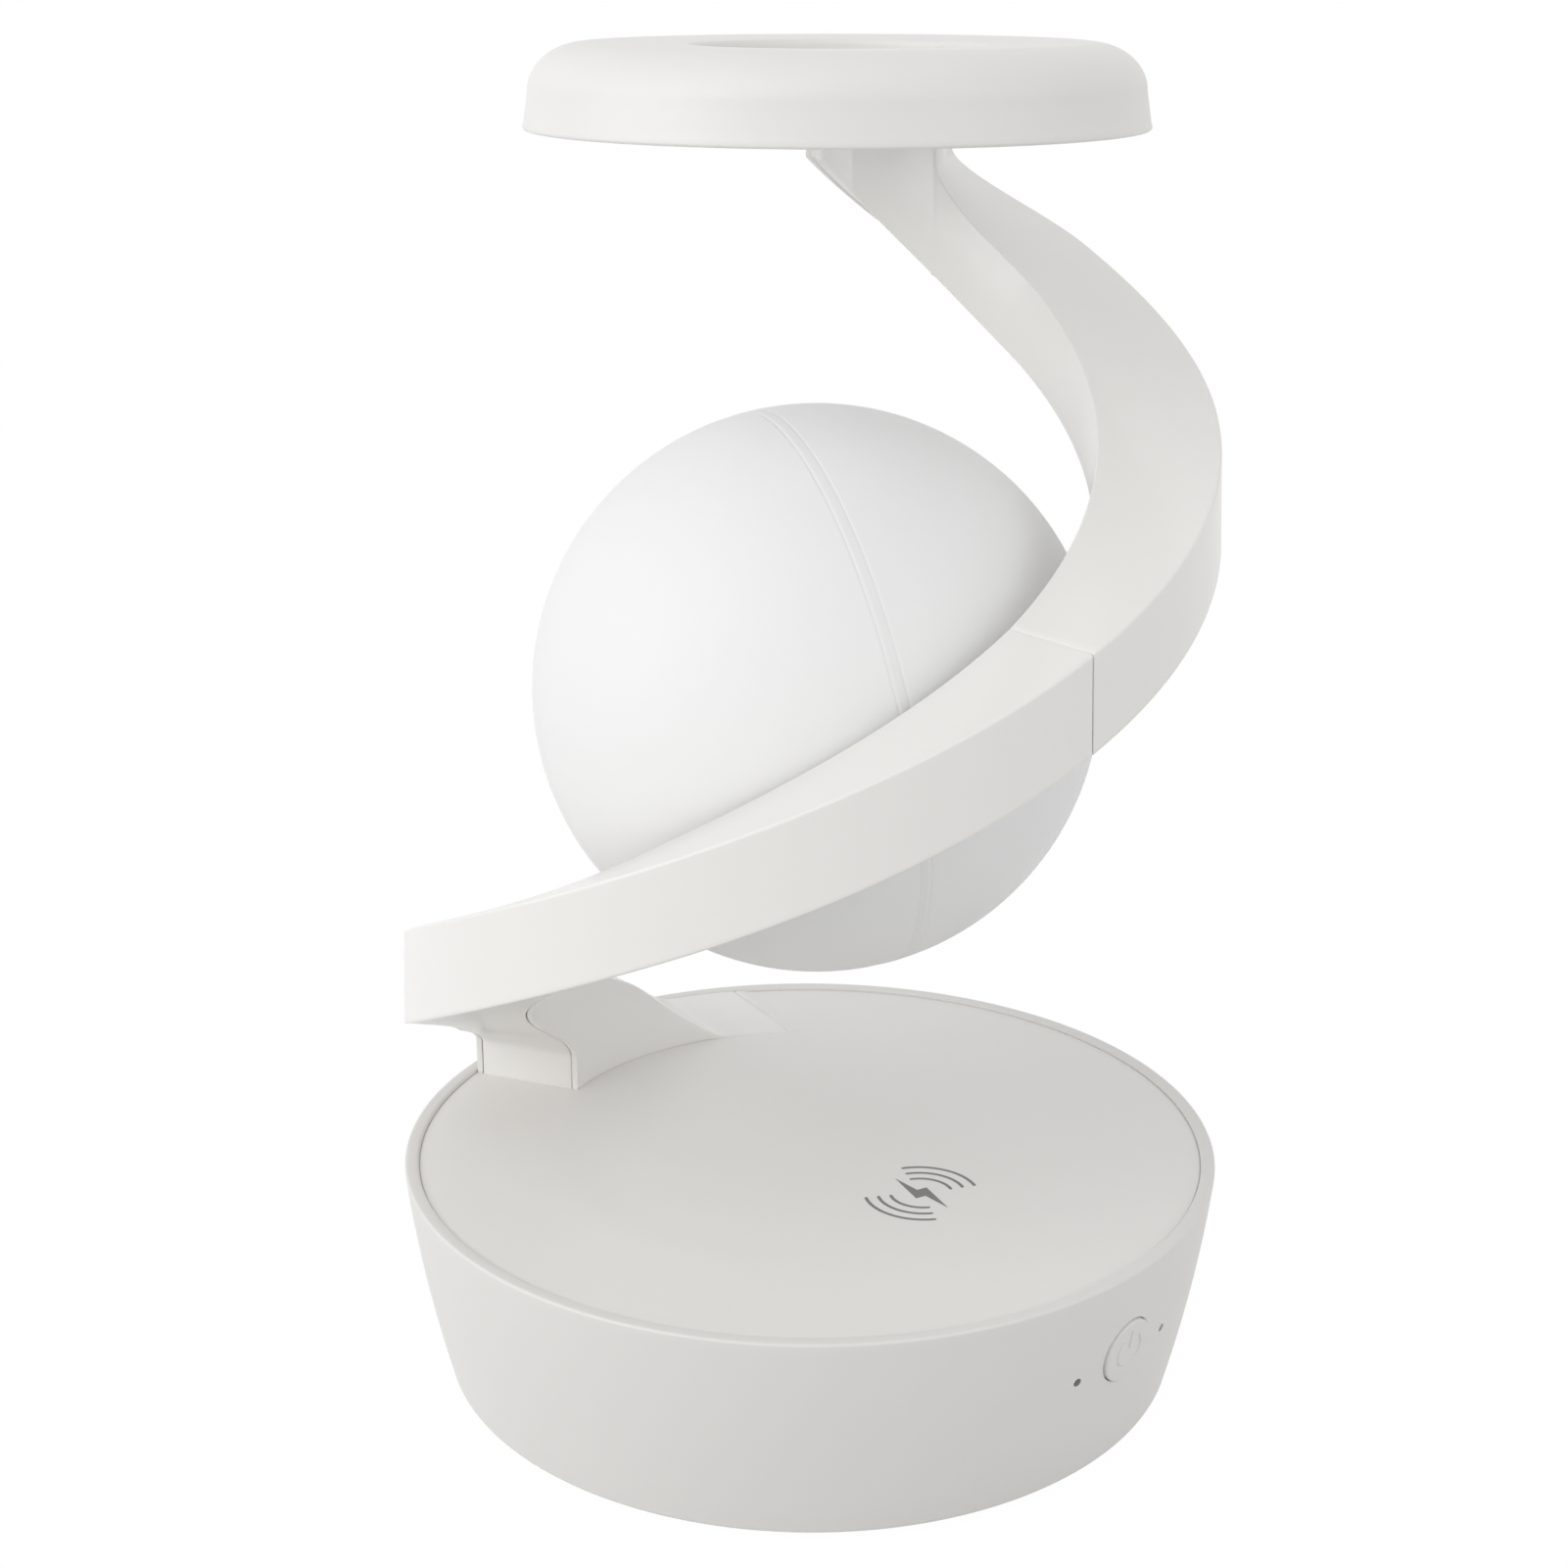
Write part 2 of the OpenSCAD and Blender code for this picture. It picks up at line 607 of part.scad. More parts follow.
// Top cover: round plate with a shallow dish inside the arm's foot
module top_cover() {
    dish_r = arm_inner_r - 1;
    dish = [for (i = [0:8]) let (t = i / 8)
        [dish_r - dish_slope_w * t, cover_z - dish_depth * (1 - cos(180 * t)) / 2]];
    color([0.93, 0.93, 0.91]) difference() {
        rotate_extrude(convexity = 4)
            polygon(concat(
                [[0, ledge_z], [cover_r, ledge_z], [cover_r, cover_z]],
                dish, [[0, cover_z - dish_depth]]));
        for (t = spacer_turns)
            translate(polar(spacer_r, arm_start + t, ledge_z - cut))
                cylinder(d = screw_d + 2 * bore_fit, h = cover_t + 2 * cut);
        translate(polar(lead_r, lead_up_at, ledge_z - cut))
            cylinder(d = lead_hole_d, h = cover_t + 2 * cut);
        mark_form(cut, mark_spare);
    }
}
// Charging mark, let into the cover: a bolt between two sets of three waves
mark_bolt = [[0, 7.1], [0.15, 1.3], [2.1, 1], [0, -7.1], [-0.15, -1.3], [-2.1, -1]];
mark_spare = 0.02;
wave_span = 89;
wave_apart = 174;
bolt_lean = 23.5;
module wave(r, over, spare) {
    rotate_extrude(angle = wave_span, start = mark_turn - wave_span / 2)
        translate([r - mark_stroke / 2 - spare, 0]) square([mark_stroke + 2 * spare, mark_t + over]);
}
module mark_form(over, spare) {
    translate([mark_x, -mark_y, cover_z - dish_depth - mark_t]) {
        for (i = [0:2], half = [0, wave_apart])
            rotate([0, 0, half]) wave(mark_r - i * mark_step, over, spare);
        rotate([0, 0, mark_turn - bolt_lean])
            linear_extrude(mark_t + over) polygon(mark_bolt * (mark_r / 10.15));
    }
}
module charge_mark() { color([0.49, 0.49, 0.48]) mark_form(0, 0); }
module charging_coil() {
    color([0.72, 0.45, 0.2]) translate([mark_x, -mark_y, ledge_z - coil_t]) difference() {
        cylinder(d = coil_d, h = coil_t);
        translate([0, 0, -cut]) cylinder(d = coil_hole_d, h = coil_t + 2 * cut);
    }
}
module coil_shield() {
    color([0.2, 0.2, 0.21]) translate([mark_x, -mark_y, ledge_z - coil_t - shield_t])
        cylinder(d = coil_d + 4, h = shield_t);
}
module main_board() {
    w = main_board_x[1] - main_board_x[0];
    tab_w = socket_w + 5;
    tab_y = socket_face_y - socket_l;
    color([0.12, 0.35, 0.2]) translate([0, 0, socket_board_z]) {
        translate([main_board_x[0], main_board_y[0], 0])
            cube([w, main_board_y[1] - main_board_y[0], board_t]);
        translate([-tab_w / 2, main_board_y[1] - cut, 0])
            cube([tab_w, bottom_r - base_wall - 2 - main_board_y[1] + cut, board_t]);
    }
}
module power_socket() {
    mouth = 0.5;
    color([0.75, 0.76, 0.78]) difference() {
        socket_slot(0, socket_face_y - socket_l, socket_face_y);
        translate([-socket_w / 2 + 1.2, socket_face_y - 7, socket_z - socket_h / 2 + mouth])
            cube([socket_w - 2.4, 7 + cut, socket_h - 2 * mouth]);
    }
}

// Power button with its flange, stem and raised symbol
module power_button() {
    arc_r = button_d * 0.23;
    color([0.93, 0.93, 0.91]) at_button() {
        translate([0, 0, flange_top - flange_t])
            cylinder(d = button_d, h = button_proud - flange_top + flange_t);
        translate([0, 0, flange_top - flange_t])
            cylinder(d = button_d + 2 * (button_gap + flange_over), h = flange_t);
        translate([0, 0, stem_end]) cylinder(d = stem_d, h = stem_l + flange_t);
        translate([0, 0, button_proud]) {
            rotate([0, 0, 180]) rotate_extrude(angle = 280, start = 40)
                translate([arc_r - 0.35, 0]) square([0.7, symbol_h]);
            translate([-arc_r * 1.25, -0.35, 0]) cube([arc_r * 1.1, 0.7, symbol_h]);
        }
    }
}
module tact_switch() {
    color([0.16, 0.16, 0.17]) at_button() difference() {
        translate([-switch_w / 2, -switch_w / 2, switch_back])
            cube([switch_w, switch_w, switch_top - switch_back]);
        translate([0, 0, switch_well]) cylinder(d = stem_d + 2 * button_gap, h = switch_t * 2);
    }
}
module switch_board() {
    color([0.12, 0.35, 0.2]) at_button()
        translate([-switch_w, -switch_w, switch_back - board_t])
            cube([2 * switch_w, 2 * switch_w, board_t]);
}
module indicator_windows() {
    color([0.35, 0.35, 0.36]) for (side = [-1, 1])
        at_window(side) translate([0, 0, -base_wall - 1])
            cylinder(d = window_d, h = base_wall + 0.9);
}

// Foot of the arm: clamp plate under the cover, screws and spacers
module foot_spot(t, z) { translate(polar(spacer_r, arm_start + t, z)) children(); }
module foot_clamp() {
    color([0.6, 0.61, 0.63]) difference() {
        rotate_extrude(angle = clamp_turns[1] - clamp_turns[0], start = arm_start + clamp_turns[0])
            translate([spacer_r - 4, ledge_z - clamp_t]) square([7, clamp_t]);
        for (t = spacer_turns) foot_spot(t, ledge_z - clamp_t - cut)
            cylinder(d = screw_d + 2 * bore_fit, h = clamp_t + 2 * cut);
    }
}
module foot_screws() {
    color([0.7, 0.71, 0.72]) for (t = spacer_turns)
        foot_spot(t, ledge_z - clamp_t - screw_head_t)
            screw_up(clamp_t + cover_t + foot_grip, screw_head_t);
}
module foot_spacers() {
    reach = spacer_d / 2 / degree_len + 0.3;
    color([0.78, 0.66, 0.36]) for (t = spacer_turns) foot_spot(t, cover_z) {
        h = lower_top(arm_start + t - reach) - arm_top_t - cover_z;
        difference() {
            cylinder(d = spacer_d, h = h);
            translate([0, 0, -cut]) cylinder(d = screw_d + 2 * bore_fit, h = foot_grip + 0.4 + cut);
        }
    }
}

// Lower arm: channel open below, from its flat tail on the base to the seam
lower_turns = concat(
    steps(tail_at, foot_end, section_step),
    [for (u = [0.04, 0.14, 0.3, 0.5, 0.72, 1]) foot_end + u * foot_fillet_turn],
    tail_of(steps(foot_end + foot_fillet_turn, seam_at - strip_gap / 2 / degree_len, section_step)));
module lower_arm() {
    color([0.95, 0.95, 0.94]) difference() {
        skin([for (s = lower_turns) lower_section(s)]);
        at_globe_pin() rod_x(pin_d + 2 * bore_fit, globe_r - cut, pin_seat + 0.6);
    }
}
module lower_arm_strip() {
    r1 = arm_inner_r + arm_wall + strip_gap;
    color([0.94, 0.94, 0.93]) skin([for (i = [0:len(lower_path) - 1])
        strip_ring(lower_path, i, r1, outer_r(lower_path[i][1]) - arm_wall - strip_gap)]);
}

// Upper arm: channel from the seam to the stalk under the head
upper_turns = concat(
    steps(seam_at + strip_gap / 2 / degree_len, stalk_at - stalk_fillet_turn, section_step),
    [for (u = [0.3, 0.55, 0.75, 0.9, 1]) stalk_at - stalk_fillet_turn * (1 - u)],
    steps(stalk_at + stalk_face, tip_at - solid_tip_turn, section_step),
    steps(tip_at - solid_tip_turn + stalk_face, tip_at - tip_round_turn, section_step),
    [for (v = [0.4, 0.7, 0.9, 0.99]) tip_at - tip_round_turn * (1 - v)]);
module head_spot(spot, z) {
    translate(polar(inner_top_r + spot[1], spot[0], head_z + z)) children();
}
module upper_arm() {
    color([0.95, 0.95, 0.94]) difference() {
        skin([for (s = upper_turns) upper_section(s)]);
        head_spot(lead_spot, -lead_bore_l) cylinder(d = lead_d + 2 * fit, h = lead_bore_l + cut);
        for (spot = head_screw_spots)
            head_spot(spot, -head_screw_l) cylinder(d = head_screw_d + 2 * bore_fit, h = head_screw_l + cut);
    }
}
module upper_arm_strip() {
    color([0.94, 0.94, 0.93]) skin([for (i = [0:len(upper_path) - 1])
        let (s = upper_path[i][0], w = arm_wall + strip_gap)
        strip_ring(upper_path, i, upper_inner(s) + w, upper_outer(s, upper_path[i][1]) - w)]);
}
// Tenon that joins the two mouldings inside the arm
module arm_tenon() {
    half = 6;
    color([0.8, 0.8, 0.8]) skin([for (s = steps(seam_at - half, seam_at + half, section_step))
        let (z0 = underside(s) + strip_t + 0.6, z1 = helix(s) - arm_top_t - fit)
        let (r1 = cone_r(z1) - arm_wall - fit)
        [for (p = [[lead_r + lead_d, z0, 0], [lead_r + lead_d, z1, 0], [r1, z1, 1], [r1, z0, 1]])
            arm_point(p, s, 0)]]);
}

// Lead from the main board up through the foot, the arm and the stalk
lead_tip_r = inner_top_r + lead_spot[1];
lead_tip_turn = lead_spot[0];
lead_low = arm_top_t + lead_d / 2 + 1.6;
lead_ease_turn = 45;
lead_bend_turn = 5;
lead_bore_l = head_z - helix(lead_tip_turn) + arm_top_t + cut;
lead_clear = 0.2;
function lead_ease(s) = smooth((s - lead_tip_turn + lead_ease_turn) / lead_ease_turn);
// The lead's radius, which keeps it clear of the channel's inner wall
function lead_way_r(s) =
    max(mix(lead_r, lead_tip_r, lead_ease(s)),
        (s > seam_at ? upper_inner(s) : arm_inner_r) + arm_wall + lead_d / 2 + lead_clear);
lead_route = concat(
    [for (t = [0, 0.4, 0.8]) polar(lead_r, lead_up_at, mix(socket_board_z + board_t, cover_z, t))],
    [polar(lead_r, lead_up_at + 0.6, cover_z + 0.6), polar(lead_r, lead_up_at + 5, cover_z + 3)],
    [for (s = steps(lead_up_at + 2 * lead_bend_turn, lead_tip_turn - lead_bend_turn, section_step * 2))
        polar(lead_way_r(s), s, helix(s) - lead_low)],
    [for (z = [-lead_bore_l - 1, -lead_bore_l / 2, 0, board_z]) polar(lead_tip_r, lead_tip_turn, head_z + z)]);
function unit(v) = v / norm(v);
function lead_ring(i) =
    let (a = lead_route[max(0, i - 1)], b = lead_route[min(len(lead_route) - 1, i + 1)])
    let (t = unit(b - a), ref = abs(t[2]) > 0.9 ? [-sin(lead_up_at), cos(lead_up_at), 0] : [0, 0, 1])
    let (u = unit(cross(t, ref)), v = cross(t, u))
    [for (k = [0:7]) lead_route[i] + (u * cos(-45 * k) + v * sin(-45 * k)) * lead_d / 2];
module arm_lead_wire() {
    color([0.85, 0.85, 0.86]) skin([for (i = [0:len(lead_route) - 1]) lead_ring(i)]);
}

// Globe: two thin half shells, the pin that carries it and its inner fittings
module globe_half(up) {
    at_globe() rotate([0, seam_tilt, seam_swing]) intersection() {
        difference() {
            sphere(r = globe_r, $fn = 96);
            sphere(r = globe_in_r, $fn = 96);
        }
        translate([-globe_d, -globe_d, up > 0 ? 0 : -2 * globe_d]) cube(2 * globe_d);
    }
}
module globe_body() {
    color([0.9, 0.91, 0.92]) difference() {
        globe_half(-1);
        at_globe_pin() rod_x(pin_d + 2 * fit, globe_in_r - 2, globe_r + cut);
    }
}
module globe_cap() { color([0.9, 0.91, 0.92]) globe_half(1); }
module globe_pin() {
    color([0.85, 0.85, 0.84]) at_globe_pin() difference() {
        union() {
            rod_x(pin_d, lamp_x, pin_seat + 0.4 + pin_flange_t);
            rod_x(pin_flange_d, pin_seat + 0.4, pin_seat + 0.4 + pin_flange_t);
        }
        rod_x(pin_d - 2 * pin_wall, lamp_x - cut, pin_seat + pin_flange_t + cut);
    }
}
module globe_gasket() {
    color([0.8, 0.8, 0.8]) difference() {
        intersection() {
            at_globe_pin() rod_x(gasket_d, globe_in_r, pin_seat);
            translate([0, 0, globe_z - collar_d]) cylinder(r = arm_inner_r - fit, h = 2 * collar_d);
        }
        at_globe() sphere(r = globe_r + bore_fit, $fn = 96);
        at_globe_pin() rod_x(pin_d + 2 * bore_fit, globe_in_r - cut, pin_seat + cut);
    }
}
module globe_collar() {
    radii = [for (i = [0:4]) mix(collar_d / 2, pin_d / 2 + bore_fit, i / 4)];
    seat_r = globe_in_r - bore_fit;
    color([0.8, 0.8, 0.8]) at_globe_pin() rotate([0, 90, 0]) rotate_extrude(convexity = 4)
        polygon(concat(
            [[pin_d / 2 + bore_fit, collar_x], [collar_d / 2, collar_x]],
            [for (r = radii) [r, sqrt(seat_r * seat_r - r * r)]]));
}
module globe_nut() {
    color([0.75, 0.75, 0.76]) at_globe_pin() difference() {
        translate([nut_x, 0, 0]) rotate([0, 90, 0]) cylinder(d = nut_d, h = nut_t, $fn = 6);
        rod_x(pin_d + 2 * bore_fit, nut_x - cut, nut_x + nut_t + cut);
    }
}
module globe_lamp_board() {
    color([0.95, 0.95, 0.93]) at_globe_pin() rod_x(lamp_d, lamp_x - lamp_t, lamp_x);
}
module globe_lights() {
    spots = concat([[0, 0]], [for (a = [0:60:300]) [a, lamp_d * 0.32]]);
    color([0.98, 0.93, 0.7]) at_globe_pin() for (p = spots)
        rotate([p[0], 0, 0])
            translate([lamp_x - lamp_t - light_h, p[1] - light_w / 2, -light_w / 2])
                cube([light_h, light_w, light_w]);
}

// Head: ring-shaped shell, light board under its step, diffuser and bracket
module head_shell() {
    inner_r = hole_r + head_wall;
    step_r = inner_r + step_w;
    top_r = head_r - flare - shoulder_w;
    outer = shoulder(0);
    inner = shoulder(head_wall);
    color([0.94, 0.94, 0.93]) at_head() rotate_extrude(convexity = 8)
        polygon(concat(
            [[head_r, 0]], outer,
            [[hole_r + 1.2, head_h - crown], [hole_r, head_h - crown - 1], [hole_r, 0],
             [inner_r, 0], [inner_r, board_z], [step_r, board_z],
             [step_r, head_h - crown - head_wall], [top_r, head_h - head_wall]],
            [for (i = [len(inner) - 2:-1:0]) inner[i]],
            [[head_r - head_wall, 0]]));
}
module head_sector(r0, r1, spare, z0, z1) {
    at_head() rotate_extrude(angle = bracket_turn + 2 * spare, start = bracket_mid - bracket_turn / 2 - spare)
        translate([r0, z0]) square([r1 - r0, z1 - z0]);
}
module head_diffuser() {
    color([0.96, 0.96, 0.97]) difference() {
        at_head() translate([0, 0, diffuser_z]) difference() {
            cylinder(r = diffuser_r, h = diffuser_t);
            translate([0, 0, -cut]) cylinder(r = hole_r + head_wall + fit, h = diffuser_t + 2 * cut);
        }
        head_sector(bracket_in_r - fit, head_r, 0.6, -cut, diffuser_z + diffuser_t + cut);
        head_spot(lead_spot, -cut) cylinder(d = lead_d + 2 * fit, h = diffuser_z + diffuser_t + 2 * cut);
    }
}
module head_board() {
    color([0.95, 0.95, 0.93]) at_head() translate([0, 0, board_z - board_h]) difference() {
        cylinder(r = head_board_r, h = board_h);
        translate([0, 0, -cut]) cylinder(r = hole_r + head_wall + bore_fit, h = board_h + 2 * cut);
    }
}
module head_lights() {
    ring_r = (hole_r + head_wall + head_board_r) / 2;
    color([0.98, 0.93, 0.7]) at_head() for (i = [0:head_led_count - 1])
        rotate([0, 0, i * 360 / head_led_count])
            translate([ring_r - light_w / 2, -light_w / 2, board_z - board_h - light_h])
                cube([light_w, light_w, light_h]);
}
module head_bracket() {
    color([0.8, 0.8, 0.8]) difference() {
        head_sector(bracket_in_r, head_r - flare - head_wall - fit, 0, 0, bracket_lift);
        for (spot = head_screw_spots) head_spot(spot, -cut)
            cylinder(d = head_screw_d + 2 * bore_fit, h = bracket_lift + 2 * cut);
    }
}
module head_screws() {
    grip = head_screw_l - 1;
    color([0.7, 0.71, 0.72]) for (spot = head_screw_spots) head_spot(spot, -grip) {
        cylinder(d = head_screw_d, h = grip + bracket_lift + 1);
        translate([0, 0, grip + bracket_lift]) cylinder(d = head_screw_d * 1.5, h = 1);
    }
}

base_shell();
bottom_plate();
rubber_feet();
base_screws();
ballast_plate();
top_cover();
charge_mark();
charging_coil();
coil_shield();
main_board();
power_socket();
power_button();
tact_switch();
switch_board();
indicator_windows();
foot_clamp();
foot_screws();
foot_spacers();
lower_arm();
lower_arm_strip();
upper_arm();
upper_arm_strip();
arm_tenon();
arm_lead_wire();
globe_body();
globe_cap();
globe_pin();
globe_gasket();
globe_collar();
globe_nut();
globe_lamp_board();
globe_lights();
head_shell();
head_diffuser();
head_board();
head_lights();
head_bracket();
head_screws();
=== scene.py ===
import math

import bmesh
import bpy
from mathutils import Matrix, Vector


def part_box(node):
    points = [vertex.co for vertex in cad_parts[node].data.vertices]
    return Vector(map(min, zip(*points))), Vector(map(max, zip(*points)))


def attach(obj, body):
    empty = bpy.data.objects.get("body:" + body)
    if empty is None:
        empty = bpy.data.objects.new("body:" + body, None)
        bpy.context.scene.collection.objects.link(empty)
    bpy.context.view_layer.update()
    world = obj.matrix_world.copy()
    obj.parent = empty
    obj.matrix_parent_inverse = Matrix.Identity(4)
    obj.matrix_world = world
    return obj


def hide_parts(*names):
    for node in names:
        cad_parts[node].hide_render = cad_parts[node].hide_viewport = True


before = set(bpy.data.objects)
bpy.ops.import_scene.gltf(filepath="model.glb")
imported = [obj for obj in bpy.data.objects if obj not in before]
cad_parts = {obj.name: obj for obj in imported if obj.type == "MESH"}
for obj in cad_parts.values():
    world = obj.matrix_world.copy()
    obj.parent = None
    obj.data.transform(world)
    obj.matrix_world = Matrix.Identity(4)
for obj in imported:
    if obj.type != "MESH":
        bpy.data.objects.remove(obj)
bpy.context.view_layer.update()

# Base shell: a white bowl, wider at its rim, injection moulded in satin plastic.
# The side has a hole for the button, a pinhole on each side of it and the socket's
# slot at the back. Four screws from below close it on the bottom plate.
MM = 0.001
shell_low, shell_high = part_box("base_shell")
rim_r = shell_high[0] / MM
rim_z = shell_high[2] / MM
foot_h = shell_low[2] / MM
side_h = rim_z - foot_h
base_taper = 7.0
side_bow = 0.45
base_wall = 2.4
base_edge = 0.9
rim_edge = 0.5
lip_w = 2.58
lip_edge = 0.48
gap_depth = 0.2
cover_clear = 0.03
ledge_w = 2.4
ledge_t = 2.0
cover_drop = 0.5
cover_t = 3.0
border_w = 1.7
border_drop = 0.12
cover_z = rim_z - cover_drop
ledge_z = cover_z - cover_t
cover_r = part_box("top_cover")[1][0] / MM
button_turn = -41.9
button_z = 24.7
button_d = 11.6
button_gap = 0.3
window_d = 1.3
window_turn = 9.7
window_drop = 1.5
window_gap = 0.05
socket_turn = 90
socket_z = 13.0
socket_w = 8.9
socket_h = 3.2
socket_gap = 0.2
hole_edge = 0.2
hole_steps = (0.4, 0.75, 1)
base_columns = 360
side_rows = 26
rim_rows = 4
# The bowl's white is set darker than the cover's: painted shade for its sides, which face away from
# the lamps.
base_shade_tone = (0.78, 0.768, 0.746)


def side_share(z):
    return (rim_z - z) / side_h


def side_r(z):
    t = side_share(z)
    return rim_r - base_taper * ((1 - side_bow) * t + side_bow * t * t)


def side_lean(z):
    return math.atan(base_taper / side_h * (1 - side_bow + 2 * side_bow * side_share(z)))


def mix(a, b, t):
    return a + (b - a) * t


def spread(a, b, count):
    return [mix(a, b, i / count) for i in range(count + 1)]


def arc(centre, radius, start, end, count):
    """Points along an arc in a flat outline, its angles in degrees."""
    turns = [math.radians(a) for a in spread(start, end, count)]
    return [(centre[0] + radius * math.cos(a), centre[1] + radius * math.sin(a)) for a in turns]


def turned(profile, columns, closed=True):
    """A form turned about the upright axis, its faces keyed by profile point and column."""
    turns = [math.tau * j / columns for j in range(columns)]
    points = [(r * math.cos(a), r * math.sin(a), z) for r, z in profile for a in turns]
    faces = {}
    for i in range(len(profile) if closed else len(profile) - 1):
        k = (i + 1) % len(profile)
        for j in range(columns):
            n = (j + 1) % columns
            corners = (i * columns + j, i * columns + n, k * columns + n, k * columns + j)
            faces[(i, j)] = corners
    return points, faces


def make_piece(name, points, faces, finish, sharp=35):
    """A piece from points in millimetres, with clean normals and edges that stay crisp."""
    mesh = bpy.data.meshes.new(name)
    mesh.from_pydata([[c * MM for c in p] for p in points], [], [tuple(f) for f in faces])
    form = bmesh.new()
    form.from_mesh(mesh)
    bmesh.ops.delete(form, geom=[v for v in form.verts if not v.link_faces], context="VERTS")
    bmesh.ops.remove_doubles(form, verts=form.verts, dist=2e-6)
    bmesh.ops.dissolve_degenerate(form, edges=form.edges, dist=1e-6)
    bmesh.ops.recalc_face_normals(form, faces=form.faces)
    form.to_mesh(mesh)
    form.free()
    mesh.shade_smooth()
    mesh.set_sharp_from_angle(angle=math.radians(sharp))
    mesh.materials.append(finish)
    piece = bpy.data.objects.new(name, mesh)
    bpy.context.scene.collection.objects.link(piece)
    return piece


def moulded_plastic(name, colour, roughness, grain_mm=0.35, grain_depth=0.004, coat=0.0):
    """Moulded plastic: slow flow marks in tone and gloss, and the tool's fine grain as bump."""
    finish = bpy.data.materials.new(name)
    finish.use_nodes = True
    nodes, links = finish.node_tree.nodes, finish.node_tree.links
    shader = nodes["Principled BSDF"]
    shader.inputs["Coat Weight"].default_value = coat
    shader.inputs["Coat Roughness"].default_value = 0.12
    place = nodes.new("ShaderNodeTexCoord")
    flow = nodes.new("ShaderNodeTexNoise")
    flow.inputs["Scale"].default_value = 28
    flow.inputs["Detail"].default_value = 3
    links.new(place.outputs["Object"], flow.inputs["Vector"])
    tone = nodes.new("ShaderNodeMix")
    tone.data_type = "RGBA"
    tone.inputs["A"].default_value = (*[c * 0.985 for c in colour], 1)
    tone.inputs["B"].default_value = (*[min(1, c * 1.012) for c in colour], 1)
    links.new(flow.outputs["Fac"], tone.inputs["Factor"])
    links.new(tone.outputs["Result"], shader.inputs["Base Color"])
    gloss = nodes.new("ShaderNodeMapRange")
    gloss.inputs["To Min"].default_value = roughness - 0.04
    gloss.inputs["To Max"].default_value = roughness + 0.04
    links.new(flow.outputs["Fac"], gloss.inputs["Value"])
    links.new(gloss.outputs["Result"], shader.inputs["Roughness"])
    grain = nodes.new("ShaderNodeTexNoise")
    grain.inputs["Scale"].default_value = 1 / (grain_mm * MM)
    grain.inputs["Detail"].default_value = 2
    links.new(place.outputs["Object"], grain.inputs["Vector"])
    relief = nodes.new("ShaderNodeBump")
    relief.inputs["Strength"].default_value = 0.35
    relief.inputs["Distance"].default_value = grain_depth * MM
    links.new(grain.outputs["Fac"], relief.inputs["Height"])
    links.new(relief.outputs["Normal"], shader.inputs["Normal"])
    return finish


def round_hole(radius):
    return lambda angle: radius


def slot_hole(width, height):
    """Distance from a slot's middle to its edge, in any direction."""
    end_r, reach = height / 2, (width - height) / 2

    def distance(angle):
        c, s = abs(math.cos(angle)), abs(math.sin(angle))
        if s > 1e-9 and end_r * c / s <= reach:
            return end_r / s
        return reach * c + math.sqrt(end_r * end_r - (reach * s) ** 2)

    return distance


wall_rows = spread(foot_h + base_edge, ledge_z - ledge_t, side_rows)
upper_rows = spread(wall_rows[-1], rim_z - rim_edge, rim_rows)[1:]
rim_centre = (side_r(rim_z - rim_edge) - rim_edge, rim_z - rim_edge)
gap_z = cover_z - border_drop - gap_depth
lip_r = rim_r - lip_w
base_profile = arc((side_r(wall_rows[0]) - base_edge, wall_rows[0]), base_edge, -90, 0, 5)[:-1]
outer_start = len(base_profile)
base_profile += [(side_r(z), z) for z in wall_rows + upper_rows]
base_profile += arc(rim_centre, rim_edge, 0, 90, 6)[1:]
base_profile += arc((lip_r + lip_edge, rim_z - lip_edge), lip_edge, 90, 180, 4)
recess_r = cover_r + cover_clear
ledge_r = lip_r - ledge_w
base_profile += [(lip_r, gap_z), (recess_r, gap_z), (recess_r, ledge_z)]
base_profile += [(ledge_r, ledge_z), (ledge_r, ledge_z - ledge_t)]
inner_start = len(base_profile)
base_profile += [(side_r(z) - base_wall, z) for z in reversed(wall_rows)]
base_profile += [(side_r(wall_rows[0]) - base_wall, foot_h)]
base_points, base_faces = turned(base_profile, base_columns)
base_extra = []


